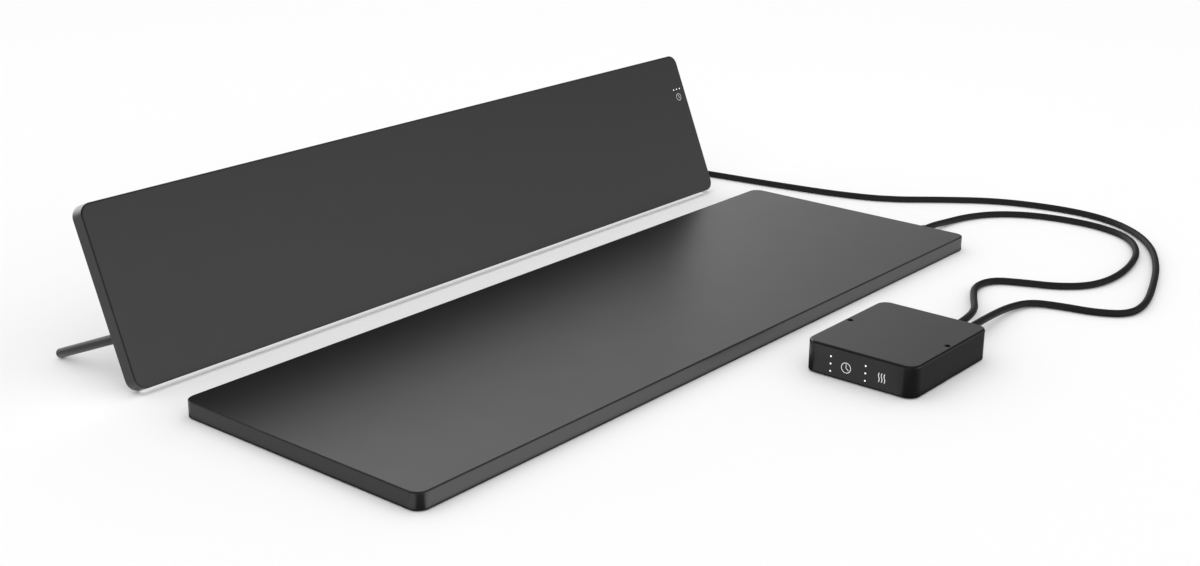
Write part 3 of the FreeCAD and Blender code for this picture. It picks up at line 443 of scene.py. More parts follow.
# %% Metals with a direction
LINE, LINE_DEPTH, LINE_LIFT, LINE_ROUGH = 0.0006, 0.000006, 0.5, 0.18
SPOT, SPOT_ROUGH = 0.006, 0.06


def drawn_metal(name, colour, stain, rough, stretch):
    """Metal whose fine lines run along the axis with the smallest stretch."""
    shader = new_finish(name)
    lines = shader.noise(LINE, detail=4.0, stretch=stretch)
    spots = shader.noise(SPOT)
    shader.surface(Base_Color=shader.blend(spots, colour, stain), Metallic=1.0,
                   Roughness=lines * LINE_ROUGH + spots * SPOT_ROUGH + rough,
                   Normal=shader.bump(lines, LINE_DEPTH, LINE_LIFT))


drawn_metal("zinc_steel", (0.56, 0.56, 0.58, 1), (0.46, 0.46, 0.46, 1), 0.24, (1, 1, 0.2))
drawn_metal("turned_brass", (0.72, 0.53, 0.22, 1), (0.55, 0.40, 0.16, 1), 0.22, (0.2, 1, 1))
drawn_metal("etched_foil", (0.58, 0.50, 0.42, 1), (0.46, 0.38, 0.30, 1), 0.30, (0.05, 1, 1))
drawn_metal("can_sleeve", (0.30, 0.31, 0.36, 1), (0.22, 0.23, 0.28, 1), 0.30, (1, 1, 0.1))
print(len(FINISHES), "finishes so far")

# %% [markdown]
# Four finishes are one of a kind: a board whose tracks show through its lacquer, the fuse's clear tube,
# pressed fibre, and cloudy light pipes that glow a little. Each is written out, because one recipe for all
# would need more settings than it saves.

# %% Board, glass, fibre and light
TRACKS_PER_M, TRACK_W, TRACK_DEPTH = 300.0, 0.06, 0.00003
LACQUER, TRACK = (0.008, 0.07, 0.03, 1), (0.03, 0.16, 0.07, 1)
GLASS_DULL, GLASS_CLEAR = (0.86, 0.9, 0.9, 1), (0.94, 0.96, 0.96, 1)
FIBRE_DARK, FIBRE_PALE, FIBRE_DEPTH = (0.52, 0.47, 0.33, 1), (0.78, 0.74, 0.60, 1), 0.0003
PIPE_COOL, PIPE_WHITE, PIPE_GLOW = (0.92, 0.95, 1.0, 1), (1.0, 1.0, 1.0, 1), 0.45

board = new_finish("circuit_board")
grid = {"Vector": board.place(), "Scale": TRACKS_PER_M, "Mortar Size": TRACK_W,
        "Color1": grey(0.0), "Color2": grey(0.15), "Mortar": grey(1.0)}
tracks = board.node("TexBrick", inputs=grid)
board.surface(Base_Color=board.blend(tracks, LACQUER, TRACK), Roughness=board.noise(0.002) * 0.1 + 0.3,
              Normal=board.bump(tracks, TRACK_DEPTH, 0.5))

glass = new_finish("fuse_glass")
glass.surface(Base_Color=glass.blend(glass.noise(0.004), GLASS_DULL, GLASS_CLEAR),
              Roughness=glass.noise(0.003) * 0.05 + 0.03, Transmission_Weight=0.9, IOR=1.5)

fibre = new_finish("fibre_board")
strands = fibre.noise(0.0015, detail=6.0, stretch=(0.2, 1, 1))
fibre.surface(Base_Color=fibre.blend(strands, FIBRE_DARK, FIBRE_PALE), Roughness=strands * 0.1 + 0.85,
              Normal=fibre.bump(strands, FIBRE_DEPTH, 0.8))

pipe = new_finish("light_pipe")
cloudy = pipe.noise(0.0006)
glow = pipe.blend(cloudy, PIPE_COOL, PIPE_WHITE)
pipe.surface(Base_Color=glow, Roughness=cloudy * 0.08 + 0.18,
             Emission_Color=glow, Emission_Strength=PIPE_GLOW)
print(len(FINISHES), "finishes in all")

# %% [markdown]
# ## Finishes of the solids that stay
# The inner pieces and the flat plates already have the right shape, so they stay as they are and only
# take a finish.

# %% Dress the solids
DRESSED = {
    "back_coat": ["panel_back_plate", "pad_back_plate"],
    "box_moulding": ["box_base"],
    "etched_foil": ["panel_heating_foil", "pad_heating_foil"],
    "fibre_board": ["panel_insulation", "pad_insulation"],
    "cream_moulding": ["panel_posts", "pad_posts", "panel_terminal_block", "pad_terminal_block",
                       "box_terminal_blocks"],
    "zinc_steel": ["panel_thermal_cutout", "pad_thermal_cutout", "box_board_screws"],
    "circuit_board": ["panel_touch_board", "box_touch_board", "box_power_board"],
    "turned_brass": ["foot_sockets", "box_fuse_clips", "box_inlet_pins"],
    "relay_case": ["box_relays"],
    "ferrite_core": ["box_transformer"],
    "can_sleeve": ["box_capacitor"],
    "fuse_glass": ["box_fuse"],
    "inlet_moulding": ["box_inlet"],
}
for name, members in DRESSED.items():
    for member in members:
        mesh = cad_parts[member].data
        mesh.materials.clear()
        mesh.materials.append(FINISHES[name])
print("dressed", sum(len(members) for members in DRESSED.values()), "solids")

# %% [markdown]
# ## Skins
# A pressed shell is one rounded rectangle that shrinks and rises along a section line. Lofting it gives
# even quads round every edge, where a subdivided box would need its corners tamed. Guard loops next to
# each rounded edge keep the flat faces truly flat, so that their reflections stay straight.

# %% Loops of a rounded rectangle
CORNER_STEPS = 14
GUARD = 0.5


def rounded_loop(length, width, radius, inset, height):
    """Points round a rectangle with round corners, counter-clockwise from above."""
    radius -= inset
    half_l, half_w = length / 2 - inset - radius, width / 2 - inset - radius
    loop = []
    for quarter, (sx, sy) in enumerate(((1, 1), (-1, 1), (-1, -1), (1, -1))):
        turns = [math.pi / 2 * (quarter + i / CORNER_STEPS) for i in range(CORNER_STEPS + 1)]
        arc = [Vector((sx * half_l + radius * math.cos(a), sy * half_w + radius * math.sin(a), height))
               for a in turns]
        into = Vector((-math.sin(turns[0]), math.cos(turns[0]), 0)) * GUARD
        out = Vector((-math.sin(turns[-1]), math.cos(turns[-1]), 0)) * GUARD
        loop += [arc[0] - into, *arc, arc[-1] + out]
    return loop


def quarter_round(inset, height, radius, first, steps=6):
    """Section points over a quarter turn, starting at an angle in degrees."""
    turns = [math.radians(first - 90 * i / steps) for i in range(steps + 1)]
    return [(inset + radius * math.cos(a), height + radius * math.sin(a)) for a in turns]


print("corner of", CORNER_STEPS, "steps")

# %% From loops to a closed mesh
RING_STEPS = 48


def loft(name, loops, ring=False):
    """Closed skin through loops of equal length: a cap at each end, or a ring that meets itself."""
    count = len(loops[0])
    total = len(loops) * count
    faces = []
    for row in range(len(loops) - (0 if ring else 1)):
        for i in range(count):
            j = (i + 1) % count
            low, high = row * count, (row + 1) * count
            faces.append([k % total for k in (low + i, low + j, high + j, high + i)])
    if not ring:
        faces += [list(range(count))[::-1], list(range(total - count, total))]
    mesh = bpy.data.meshes.new(name)
    mesh.from_pydata([point for loop in loops for point in loop], [], faces)
    return new_piece(name, mesh)


def circle(radius, height, steps=RING_STEPS):
    """Level ring of points round Z."""
    turns = [2 * math.pi * i / steps for i in range(steps)]
    return [Vector((radius * math.cos(a), radius * math.sin(a), height)) for a in turns]


def welded(piece):
    """Merge the points that meet and turn every face outward."""
    shell = bmesh.new()
    shell.from_mesh(piece.data)
    bmesh.ops.remove_doubles(shell, verts=shell.verts, dist=1e-5)
    bmesh.ops.dissolve_degenerate(shell, dist=1e-6, edges=shell.edges)
    bmesh.ops.recalc_face_normals(shell, faces=shell.faces)
    shell.to_mesh(piece.data)
    shell.free()
    return piece


def turned(name, section, ring=False, steps=RING_STEPS, place=None):
    """Skin turned round Z from (radius, height) pairs; a ring's section closes on itself."""
    piece = welded(loft(name, [circle(*step, steps) for step in section], ring))
    if place:
        piece.data.transform(place)
    return piece


print("round skins of", RING_STEPS, "steps")

# %% Cut, place and dress
SHARP = math.radians(32)


def plain_mesh(piece):
    """Replace a piece's mesh by its evaluated one, without the modifiers."""
    graph = bpy.context.evaluated_depsgraph_get()
    graph.update()
    made = bpy.data.meshes.new_from_object(piece.evaluated_get(graph))
    piece.modifiers.clear()
    old, piece.data = piece.data, made
    bpy.data.meshes.remove(old)


def cut(piece, cutters):
    """Cut tools out of a piece, then delete the tools."""
    for tool in cutters:
        step = piece.modifiers.new("cut", "BOOLEAN")
        step.object, step.operation, step.solver = tool, "DIFFERENCE", "EXACT"
    plain_mesh(piece)
    for tool in cutters:
        bpy.data.objects.remove(tool)


def settle(piece, place, finish_name, slot=None, *nodes, body="desk_set"):
    """Put a piece in place, smooth it up to its sharp edges, dress it and let it stand for its solids."""
    mesh = piece.data
    mesh.transform(place)
    mesh.shade_smooth()
    mesh.set_sharp_from_angle(angle=SHARP)
    mesh.materials.clear()
    mesh.materials.append(FINISHES[finish_name])
    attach(piece, body)
    if nodes:
        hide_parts(*nodes)
    print(piece.name, len(mesh.polygons), "faces")


print("sharp edges from", round(math.degrees(SHARP)), "degrees")

# %% [markdown]
# ## Panel and pad shells
# Both warm faces are the same pressed tray: a flat face, a rounded edge, a wall and a rounded rim at the
# back. Only the width differs. Holes for the light dots and for the pad's lead are cut afterwards, with
# round tools, because a loop of points with holes in it could not be lofted.

# %% Two trays from one section
UNIT_CORNER, FRONT_EDGE, RIM_EDGE, SHEET = 10.0, 1.2, 0.7, 1.5
FACE = UNIT_T - SHEET
LIGHT_DOT, DOT_FIT = 0.75, 0.05
PANEL_KEY_IN, PANEL_KEY_DOWN = 13.0, 45.0
PANEL_KEY = Vector((UNIT_L / 2 - PANEL_KEY_IN, PANEL_W / 2 - PANEL_KEY_DOWN, UNIT_T))
PANEL_DOT_PITCH, PANEL_DOT_RISE = 5.1, 8.5
PAD_GLAND_IN, PAD_GLAND_H = 52.0, 7.0
PAD_GLAND = Vector((UNIT_L / 2, PAD_GLAND_IN - PAD_W / 2, PAD_GLAND_H))
GLAND_NECK, GLAND_FIT = 4.2, 0.05
RIGHT = Vector((1, 0, 0))
OVER = 1.0              # how far a tool goes beyond a wall

tray_section = [(SHEET + GUARD, FACE), (SHEET, FACE), (SHEET, 0.0)]
tray_section += quarter_round(RIM_EDGE, RIM_EDGE, RIM_EDGE, 270)
tray_section += [(0.0, RIM_EDGE + GUARD), (0.0, UNIT_T - FRONT_EDGE - GUARD)]
tray_section += quarter_round(FRONT_EDGE, UNIT_T - FRONT_EDGE, FRONT_EDGE, 180, steps=8)
tray_section += [(FRONT_EDGE + GUARD, UNIT_T)]


def tray(name, width):
    """Pressed shell of one heating unit."""
    return loft(name, [rounded_loop(UNIT_L, width, UNIT_CORNER, *step) for step in tray_section])


def drill(place, along, radius, depth):
    """Round tool that starts a little before a place and goes along an axis."""
    aim = UP.rotation_difference(along).to_matrix().to_4x4()
    section = [(0, -OVER), (radius, -OVER), (radius, depth), (0, depth)]
    return turned("drill", section, place=shift(place) @ aim)


panel_shell = tray("panel_shell", PANEL_W)
dots = [PANEL_KEY + Vector((i * PANEL_DOT_PITCH, PANEL_DOT_RISE, 0)) for i in (-1, 0, 1)]
cut(panel_shell, [drill(place, -UP, LIGHT_DOT + DOT_FIT, SHEET + OVER) for place in dots])
settle(panel_shell, PANEL, "shell_coat", "shell_paint", "panel_front_shell")

pad_shell = tray("pad_shell", PAD_W)
cut(pad_shell, [drill(PAD_GLAND, -RIGHT, GLAND_NECK + GLAND_FIT, SHEET + OVER)])
settle(pad_shell, PAD, "shell_coat", "shell_paint", "pad_front_shell")

# %% [markdown]
# ## Control box
# The housing is a moulding: a solid with round edges, a hollow cut out of it that leaves two tubes for
# mounting screws and four bosses, and then the openings for screws, lights, leads and mains. It could be
# put together wall by wall, but openings that are cut out of one solid get exact edges.

# %% Outside of the control box
BOX_LOW, BOX_H = 0.8, 27.4
BOX_CORNER, BOX_TOP, BOX_RIM, BOX_WALL = 10.0, 2.0, 1.2, 2.2


def box_loop(inset, height):
    """Loop round the box, this far inside its walls."""
    return rounded_loop(BOX_L, BOX_W, BOX_CORNER, inset, height)


box_section = [(BOX_RIM + GUARD, BOX_LOW)] + quarter_round(BOX_RIM, BOX_LOW + BOX_RIM, BOX_RIM, 270)
box_section += [(0.0, BOX_LOW + BOX_RIM + GUARD), (0.0, BOX_H - BOX_TOP - GUARD)]
box_section += quarter_round(BOX_TOP, BOX_H - BOX_TOP, BOX_TOP, 180, steps=10)
box_section += [(BOX_TOP + GUARD, BOX_H)]
housing = loft("control_box", [box_loop(*step) for step in box_section])
print("housing of", len(box_section), "loops")

# %% Hollow and openings
TUBE_R, TUBE_HOLE, TUBE_Y, HOLE_FLARE = 4.6, 2.4, 45.0, 0.3
BOSS_R, BOSS_INSET, BOSS_BASE = 3.8, 9.0, 2.8
EXIT_Z, BOX_GLAND_Y, INLET_Y = 13.7, (-22.0, -11.0), 20.0
BOX_GLANDS = [Vector((BOX_L / 2, y, EXIT_Z)) for y in BOX_GLAND_Y]
INLET_AT, INLET_CUT, INLET_CORNER = Vector((BOX_L / 2, INLET_Y, EXIT_Z)), (12.3, 21.3), 1.5
BOX_DOT_Y, BOX_DOT_Z, BOX_DOT_PITCH = (-6.75, 25.25), 12.3, 6.25
TO_THE_RIGHT = Matrix.Rotation(math.radians(90), 4, "Y")

hollow = loft("hollow", [box_loop(BOX_WALL, z) for z in (-OVER, BOX_H - BOX_WALL)])
tube_places = [Vector((0, sy * TUBE_Y, 0)) for sy in (-1, 1)]
boss_places = [Vector((sx * (BOX_L / 2 - BOSS_INSET), sy * (BOX_W / 2 - BOSS_INSET), BOSS_BASE + OVER))
               for sx, sy in SQUARE]
kept = [drill(place, UP, TUBE_R, BOX_H) for place in tube_places]
kept += [drill(place, UP, BOSS_R, BOX_H) for place in boss_places]
cut(hollow, kept)

flared = [(0, -2 * OVER), (TUBE_HOLE, -2 * OVER), (TUBE_HOLE, BOX_H - HOLE_FLARE),
          (TUBE_HOLE + 2 * HOLE_FLARE, BOX_H + HOLE_FLARE), (0, BOX_H + HOLE_FLARE)]
openings = [turned("hole", flared, place=shift(place)) for place in tube_places]
openings += [drill(place, -RIGHT, GLAND_NECK + GLAND_FIT, BOX_WALL + OVER) for place in BOX_GLANDS]
dots = [Vector((-BOX_L / 2, y, BOX_DOT_Z + i * BOX_DOT_PITCH)) for y in BOX_DOT_Y for i in (-1, 0, 1)]
openings += [drill(place, RIGHT, LIGHT_DOT + DOT_FIT, BOX_WALL + OVER) for place in dots]
window = loft("window", [rounded_loop(*INLET_CUT, INLET_CORNER, 0, z) for z in (-BOX_WALL - OVER, OVER)])
window.data.transform(shift(INLET_AT) @ TO_THE_RIGHT)
cut(housing, [hollow] + openings + [window])
settle(housing, BOX, "box_moulding", "box_plastic", "box_housing")

# %% [markdown]
# ## Rod feet
# Each foot is a straight rod with a thread at its upper end, a rubber washer under its shoulder and a
# soft edge at the end that stands on the desk. Turning it moves it out by one millimetre a turn, so the
# thread shows: it is a ring of points whose radius rises and falls along a helix.

# %% Threaded rods and their washers
ROD_R, ROD_REACH, ROD_END, ROD_SOFT = 4.0, 96.558, 0.8, 0.3
STUD_R, STUD_IN, THREAD_DEPTH, THREAD_PITCH, THREAD_ROWS, THREAD_RELIEF = 3.0, 6.0, 0.5, 1.0, 8, 0.3
WASHER_R, WASHER_T, WASHER_BORE, WASHER_SOFT = 6.0, 1.0, 3.15, 0.25
ROD_OUT, ROD_RISE = 365.0, 43.7
BACK_RECESS = 0.3       # the back plates lie this far inside their rims
TO_THE_BACK = Matrix.Rotation(math.pi, 4, "X")


def thread_ring(height):
    """Ring of the stud on the helix of its thread; the thread fades in at the stud's end."""
    depth = THREAD_DEPTH * min(1.0, (height + STUD_IN) / THREAD_PITCH)
    ring = []
    for point in circle(1.0, height):
        turn = math.atan2(point.y, point.x) / (2 * math.pi)
        flank = abs(2 * ((height / THREAD_PITCH - turn) % 1.0) - 1)
        radius = STUD_R - THREAD_DEPTH + depth * flank
        ring.append(Vector((radius * point.x, radius * point.y, height)))
    return ring


def foot_rings():
    """Rings of a rod from the end of its thread to the end on the desk."""
    end = ROD_REACH + BACK_RECESS
    core = STUD_R - THREAD_DEPTH
    rows = round(STUD_IN / THREAD_PITCH * THREAD_ROWS)
    rings = [circle(0, -STUD_IN)]
    rings += [thread_ring(-STUD_IN + row * THREAD_PITCH / THREAD_ROWS) for row in range(rows + 1)]
    rings += [circle(core, THREAD_RELIEF), circle(core, WASHER_T), circle(ROD_R - ROD_SOFT, WASHER_T)]
    rings += [circle(ROD_R, WASHER_T + ROD_SOFT), circle(ROD_R, WASHER_T + 2 * ROD_SOFT)]
    rings += [circle(ROD_R, end - ROD_END - ROD_SOFT)]
    tip = quarter_round(ROD_END, ROD_END, ROD_END, 180)
    rings += [circle(ROD_R - inset, end - rise) for inset, rise in tip]
    return rings + [circle(0, end)]


washer_section = [(WASHER_BORE, 0.0), (WASHER_R - WASHER_SOFT, 0.0),
                  (WASHER_R, WASHER_SOFT), (WASHER_R, WASHER_T - WASHER_SOFT),
                  (WASHER_R - WASHER_SOFT, WASHER_T), (WASHER_BORE, WASHER_T)]
for hand, sign in (("left", -1), ("right", 1)):
    root = Vector((sign * ROD_OUT, ROD_RISE - PANEL_W / 2, BACK_RECESS))
    down = PANEL @ shift(root) @ TO_THE_BACK
    foot = welded(loft("foot_" + hand, foot_rings()))
    settle(foot, down, "rod_coat", "rod_paint", "foot_rod_" + hand, body="foot_" + hand)
    washer = turned("washer_" + hand, washer_section, ring=True)
    settle(washer, down, "foot_rubber", "washer_rubber", "foot_washer_" + hand, body="foot_thread_" + hand)

# %% [markdown]
# ## Glands
# Where a lead leaves a unit, a rubber gland holds it: a flange on each side of the wall, and outside a
# boot with grooves, so that it bends with the lead. It is turned round the lead's axis from one section,
# which keeps each groove true all round.

# %% Rubber glands
GLAND_BORE, GLAND_FLANGE, GLAND_FLANGE_T, GLAND_SOFT = 3.25, 5.0, 1.4, 0.3
BOOT_L, BOOT_ROOT, BOOT_TIP, BOOT_GROOVES, GROOVE_DEPTH = 11.0, 4.7, 4.0, 4, 0.4
GROOVE = ((0.05, 1), (0.3, 1), (0.42, 0), (0.9, 0))     # shares of the pitch and of the depth
BACK_T = 1.5
PANEL_GLAND_OUT, PANEL_GLAND_RISE = 340.0, 30.0


def gland(name, wall, place):
    """Rubber gland round +Z whose outer flange lies on the plane of zero."""
    inner = -wall - GLAND_FLANGE_T
    section = [(GLAND_BORE, inner), (GLAND_FLANGE - GLAND_SOFT, inner), (GLAND_FLANGE, inner + GLAND_SOFT),
               (GLAND_FLANGE, -wall), (GLAND_NECK, -wall), (GLAND_NECK, 0.0), (GLAND_FLANGE, 0.0),
               (GLAND_FLANGE, GLAND_FLANGE_T - GLAND_SOFT), (GLAND_FLANGE - GLAND_SOFT, GLAND_FLANGE_T)]
    pitch = (BOOT_L - GLAND_FLANGE_T - GLAND_SOFT) / BOOT_GROOVES
    for groove in range(BOOT_GROOVES):
        low = GLAND_FLANGE_T + groove * pitch
        for along, deep in GROOVE:
            height = low + along * pitch
            taper = (height - GLAND_FLANGE_T) / (BOOT_L - GLAND_FLANGE_T)
            section.append((BOOT_ROOT + (BOOT_TIP - BOOT_ROOT) * taper - deep * GROOVE_DEPTH, height))
    section += [(BOOT_TIP, BOOT_L - GLAND_SOFT), (BOOT_TIP - GLAND_SOFT, BOOT_L), (GLAND_BORE, BOOT_L)]
    return turned(name, section, ring=True, place=place)


def joined(name, parts):
    """One piece from several."""
    shell = bmesh.new()
    for part in parts:
        shell.from_mesh(part.data)
        bpy.data.objects.remove(part)
    mesh = bpy.data.meshes.new(name)
    shell.to_mesh(mesh)
    shell.free()
    return new_piece(name, mesh)


out_of_back = Vector((PANEL_GLAND_OUT, PANEL_GLAND_RISE - PANEL_W / 2, BACK_RECESS))
panel_gland = gland("panel_gland", BACK_T, shift(out_of_back) @ TO_THE_BACK)
settle(panel_gland, PANEL, "gland_rubber", "gland_rubber", "panel_cable_gland")
pad_gland = gland("pad_gland", SHEET, shift(PAD_GLAND) @ TO_THE_RIGHT)
settle(pad_gland, PAD, "gland_rubber", "gland_rubber", "pad_cable_gland")
pair = [gland("box_gland", BOX_WALL, shift(place) @ TO_THE_RIGHT) for place in BOX_GLANDS]
settle(joined("box_glands", pair), BOX, "gland_rubber", "gland_rubber", "box_cable_glands")

# %% [markdown]
# ## Small things in rows
# Screws, feet, lights and heat lines all repeat on a grid. One Geometry Nodes tree sets copies of a shape
# on the points of a level grid: the counts and the sizes are its named inputs, so the same tree serves
# two rows of four screws and a line of three lights. The result is turned into a plain mesh.

# %% Tree that sets a shape on a grid
GRID_INPUTS = (("Shape", "NodeSocketObject"), ("Columns", "NodeSocketInt"), ("Rows", "NodeSocketInt"),
               ("Length", "NodeSocketFloat"), ("Width", "NodeSocketFloat"))


def grid_tree():
    """The tree, and the identifier of each of its named inputs."""
    tree = bpy.data.node_groups.new("shapes_on_a_grid", "GeometryNodeTree")
    named = {name: tree.interface.new_socket(name, in_out="INPUT", socket_type=kind).identifier
             for name, kind in GRID_INPUTS}
    tree.interface.new_socket("Copies", in_out="OUTPUT", socket_type="NodeSocketGeometry")
    kinds = {"inputs": "NodeGroupInput", "grid": "GeometryNodeMeshGrid", "shape": "GeometryNodeObjectInfo",
             "copies": "GeometryNodeInstanceOnPoints", "real": "GeometryNodeRealizeInstances",
             "result": "NodeGroupOutput"}
    nodes = {name: tree.nodes.new(kind) for name, kind in kinds.items()}
    for source, output, target, slot in (
            ("inputs", "Length", "grid", "Size X"), ("inputs", "Width", "grid", "Size Y"),
            ("inputs", "Columns", "grid", "Vertices X"), ("inputs", "Rows", "grid", "Vertices Y"),
            ("inputs", "Shape", "shape", "Object"), ("grid", "Mesh", "copies", "Points"),
            ("shape", "Geometry", "copies", "Instance"), ("copies", "Instances", "real", "Geometry"),
            ("real", "Geometry", "result", "Copies")):
        tree.links.new(nodes[source].outputs[output], nodes[target].inputs[slot])
    return tree, named


GRID_TREE, GRID_SOCKETS = grid_tree()


def on_grid(name, shape, columns, rows, length, width):
    """Plain mesh of copies of a shape on a level grid about the origin."""
    piece = new_piece(name, bpy.data.meshes.new(name))
    step = piece.modifiers.new("copies", "NODES")
    step.node_group = GRID_TREE
    values = (shape, columns, rows, float(length), float(width))
    for socket, value in zip(GRID_SOCKETS.values(), values):
        step[socket] = value
    plain_mesh(piece)
    return piece


print("grid tree with", len(GRID_SOCKETS), "inputs")

# %% [markdown]
# Flat-headed screws with a hex socket hold the back plates and the base of the box. One screw is turned,
# a six-sided tool cuts its socket, and the grid tree sets it on every post.

# %% Screws with a hex socket
SCREW_HEAD, SCREW_HEAD_T, SCREW_SHANK, SCREW_L, SCREW_EDGE = 2.8, 1.3, 1.5, 8.0, 0.12
HEX_R, HEX_DEPTH = 1.1, 0.7
POST_INSET, POST_COLUMNS = 14.0, 4

screw_section = [(0, 0), (SCREW_HEAD - SCREW_EDGE, 0), (SCREW_HEAD, SCREW_EDGE),
                 (SCREW_SHANK, SCREW_HEAD_T), (SCREW_SHANK, SCREW_L - SCREW_SHANK), (0, SCREW_L)]
hex_section = [(0, -OVER), (HEX_R, -OVER), (HEX_R, HEX_DEPTH), (0, HEX_DEPTH + HEX_R / 3)]
screw = turned("screw", screw_section, steps=32)
cut(screw, [turned("hexagon", hex_section, steps=6)])

for name, node, unit, low, columns, length, width, inset in (
        ("panel_back_screws", "panel_screws", PANEL, BACK_RECESS, POST_COLUMNS, UNIT_L, PANEL_W, POST_INSET),
        ("pad_back_screws", "pad_screws", PAD, BACK_RECESS, POST_COLUMNS, UNIT_L, PAD_W, POST_INSET),
        ("box_bottom_screws", "box_base_screws", BOX, BOX_LOW, 2, BOX_L, BOX_W, BOSS_INSET)):
    row = on_grid(name, screw, columns, 2, length - 2 * inset, width - 2 * inset)
    settle(row, unit @ shift(UP * low), "zinc_steel", "screw_steel", node)
bpy.data.objects.remove(screw)

# %% [markdown]
# The pad and the box stand on rubber feet, which keep them from sliding. A moulded foot has a soft lower
# edge and a shallow dish in its sole; both are steps of one turned section.

# %% Rubber feet
FOOT_SOFT = 0.25
PAD_FOOT, PAD_FOOT_INSET, PAD_FOOT_COLUMNS = 7.0, 36.0, 3
BOX_FOOT, BOX_FOOT_INSET = 6.0, 19.0


def rubber_foot(radius, low, high):
    """Round foot with a soft lower edge and a shallow dish."""
    dish = radius / 2
    section = [(0, low + FOOT_SOFT / 2), (dish, low + FOOT_SOFT / 2), (dish + FOOT_SOFT, low),
               (radius - FOOT_SOFT, low), (radius, low + FOOT_SOFT), (radius, high), (0, high)]
    return turned("rubber_foot", section)


pad_foot = rubber_foot(PAD_FOOT, -PAD_RAISE, BACK_RECESS)
box_foot = rubber_foot(BOX_FOOT, 0.0, BOX_LOW)
for name, node, unit, shape, columns, length, width, inset in (
        ("pad_rubber_feet", "pad_feet", PAD, pad_foot, PAD_FOOT_COLUMNS, UNIT_L, PAD_W, PAD_FOOT_INSET),
        ("box_rubber_feet", "box_feet", BOX, box_foot, 2, BOX_L, BOX_W, BOX_FOOT_INSET)):
    feet = on_grid(name, shape, columns, 2, length - 2 * inset, width - 2 * inset)
    settle(feet, unit, "foot_rubber", "foot_rubber", node)
    bpy.data.objects.remove(shape)

# %% [markdown]
# Each light is a clear pipe that ends flush with the wall. A low dome on its end catches a glint, where a
# flat end would only look like paint.

# %% Light dots
DOME = 0.05
DOME_STEPS = ((1.0, -1.0), (0.8, 0.0), (0.4, 0.8), (0.0, 1.0))     # shares of the radius and of the dome
# A mark's X points right, its Y up and its Z out of the face.
TO_BOX_FACE = Matrix(((0, 0, -1, -BOX_L / 2), (-1, 0, 0, 0), (0, 1, 0, 0), (0, 0, 0, 1)))
TO_PANEL_FACE = shift(PANEL_KEY)


def light_dot(wall):
    """Light pipe that fills its hole and ends in a low dome."""
    section = [(0, -wall), (LIGHT_DOT, -wall)]
    section += [(LIGHT_DOT * out, DOME * rise) for out, rise in DOME_STEPS]
    return turned("light_dot", section, steps=20)


panel_dots_at = PANEL @ TO_PANEL_FACE @ shift((0, PANEL_DOT_RISE, 0))
box_dots_at = BOX @ TO_BOX_FACE @ shift((-sum(BOX_DOT_Y) / 2, BOX_DOT_Z, 0))
for name, node, place, wall, columns, rows, length, width in (
        ("panel_lights", "panel_light_pipes", panel_dots_at, SHEET, 3, 1, 2 * PANEL_DOT_PITCH, 0),
        ("box_lights", "box_light_pipes", box_dots_at, BOX_WALL, 2, 3, BOX_DOT_Y[1] - BOX_DOT_Y[0],
         2 * BOX_DOT_PITCH)):
    dot = light_dot(wall)
    lights = on_grid(name, dot, columns, rows, length, width)
    settle(lights, place, "light_pipe", "pipe_clear", node)
    bpy.data.objects.remove(dot)

# %% [markdown]
# ## Printed marks
# A clock stands for the timer and three wavy lines for the heat. They are screen-printed in white, a few
# hundredths of a millimetre thick. A picture on the face could carry them, but a thin flat line of even
# width with round ends stays sharp from any distance.

# %% Lines of even width
PRINT = 0.03
MITRE_LIMIT, CAP_STEPS, WAVE_STEPS = 0.4, 8, 24
HAND_SHARE, SECOND_HAND = 0.68, math.radians(130)


def stroke(name, line, width):
    """Flat printed line along points, with round ends."""
    points = [Vector((x, y)) for x, y in line]
    right, left = [], []
    for i, point in enumerate(points):
        before = (point - points[i - 1]).normalized() if i else None
        after = (points[i + 1] - point).normalized() if i + 1 < len(points) else None
        along = ((before or after) + (after or before)).normalized()
        reach = width / 2 / max(MITRE_LIMIT, along.dot(after or before))
        across = Vector((along.y, -along.x)) * reach
        right.append(point + across)
        left.append(point - across)

    def cap(middle, start):
        turns = [math.pi * i / CAP_STEPS for i in range(1, CAP_STEPS)]
        return [middle + Matrix.Rotation(a, 2) @ start for a in turns]

    outline = right + cap(points[-1], right[-1] - points[-1])
    outline += left[::-1] + cap(points[0], left[0] - points[0])
    return loft(name, [[Vector((p.x, p.y, z)) for p in outline] for z in (-PRINT, PRINT)])


def clock(name, radius, width):
    """Ring with two hands."""
    inner, outer = radius - width / 2, radius + width / 2
    section = [(inner, -PRINT), (outer, -PRINT), (outer, PRINT), (inner, PRINT)]
    ring = turned(name + "_ring", section, ring=True)
    hand = radius * HAND_SHARE
    second = (hand * math.sin(SECOND_HAND), hand * math.cos(SECOND_HAND))
    hands = stroke(name + "_hands", [(0, hand), (0, 0), second], width)
    return joined(name, [ring, hands])


def heat_line(height, swing, width):
    """Wavy line that rises like warm air."""
    shares = [i / WAVE_STEPS for i in range(WAVE_STEPS + 1)]
    wave = [(swing * math.sin(2 * math.pi * share), height * (share - 0.5)) for share in shares]
    return stroke("heat_line", wave, width)


print("printed lines", 2 * PRINT, "mm thick")

# %% Clock and heat marks
BOX_CLOCK, BOX_CLOCK_R, BOX_STROKE = (-10.9, 12.2), 4.2, 0.6
BOX_HEAT, HEAT_H, HEAT_PITCH, HEAT_SWING, HEAT_STROKE = (21.5, 12.2), 7.2, 2.5, 0.42, 0.75
PANEL_STROKE, PANEL_CLOCK_R = 0.42, 3.6

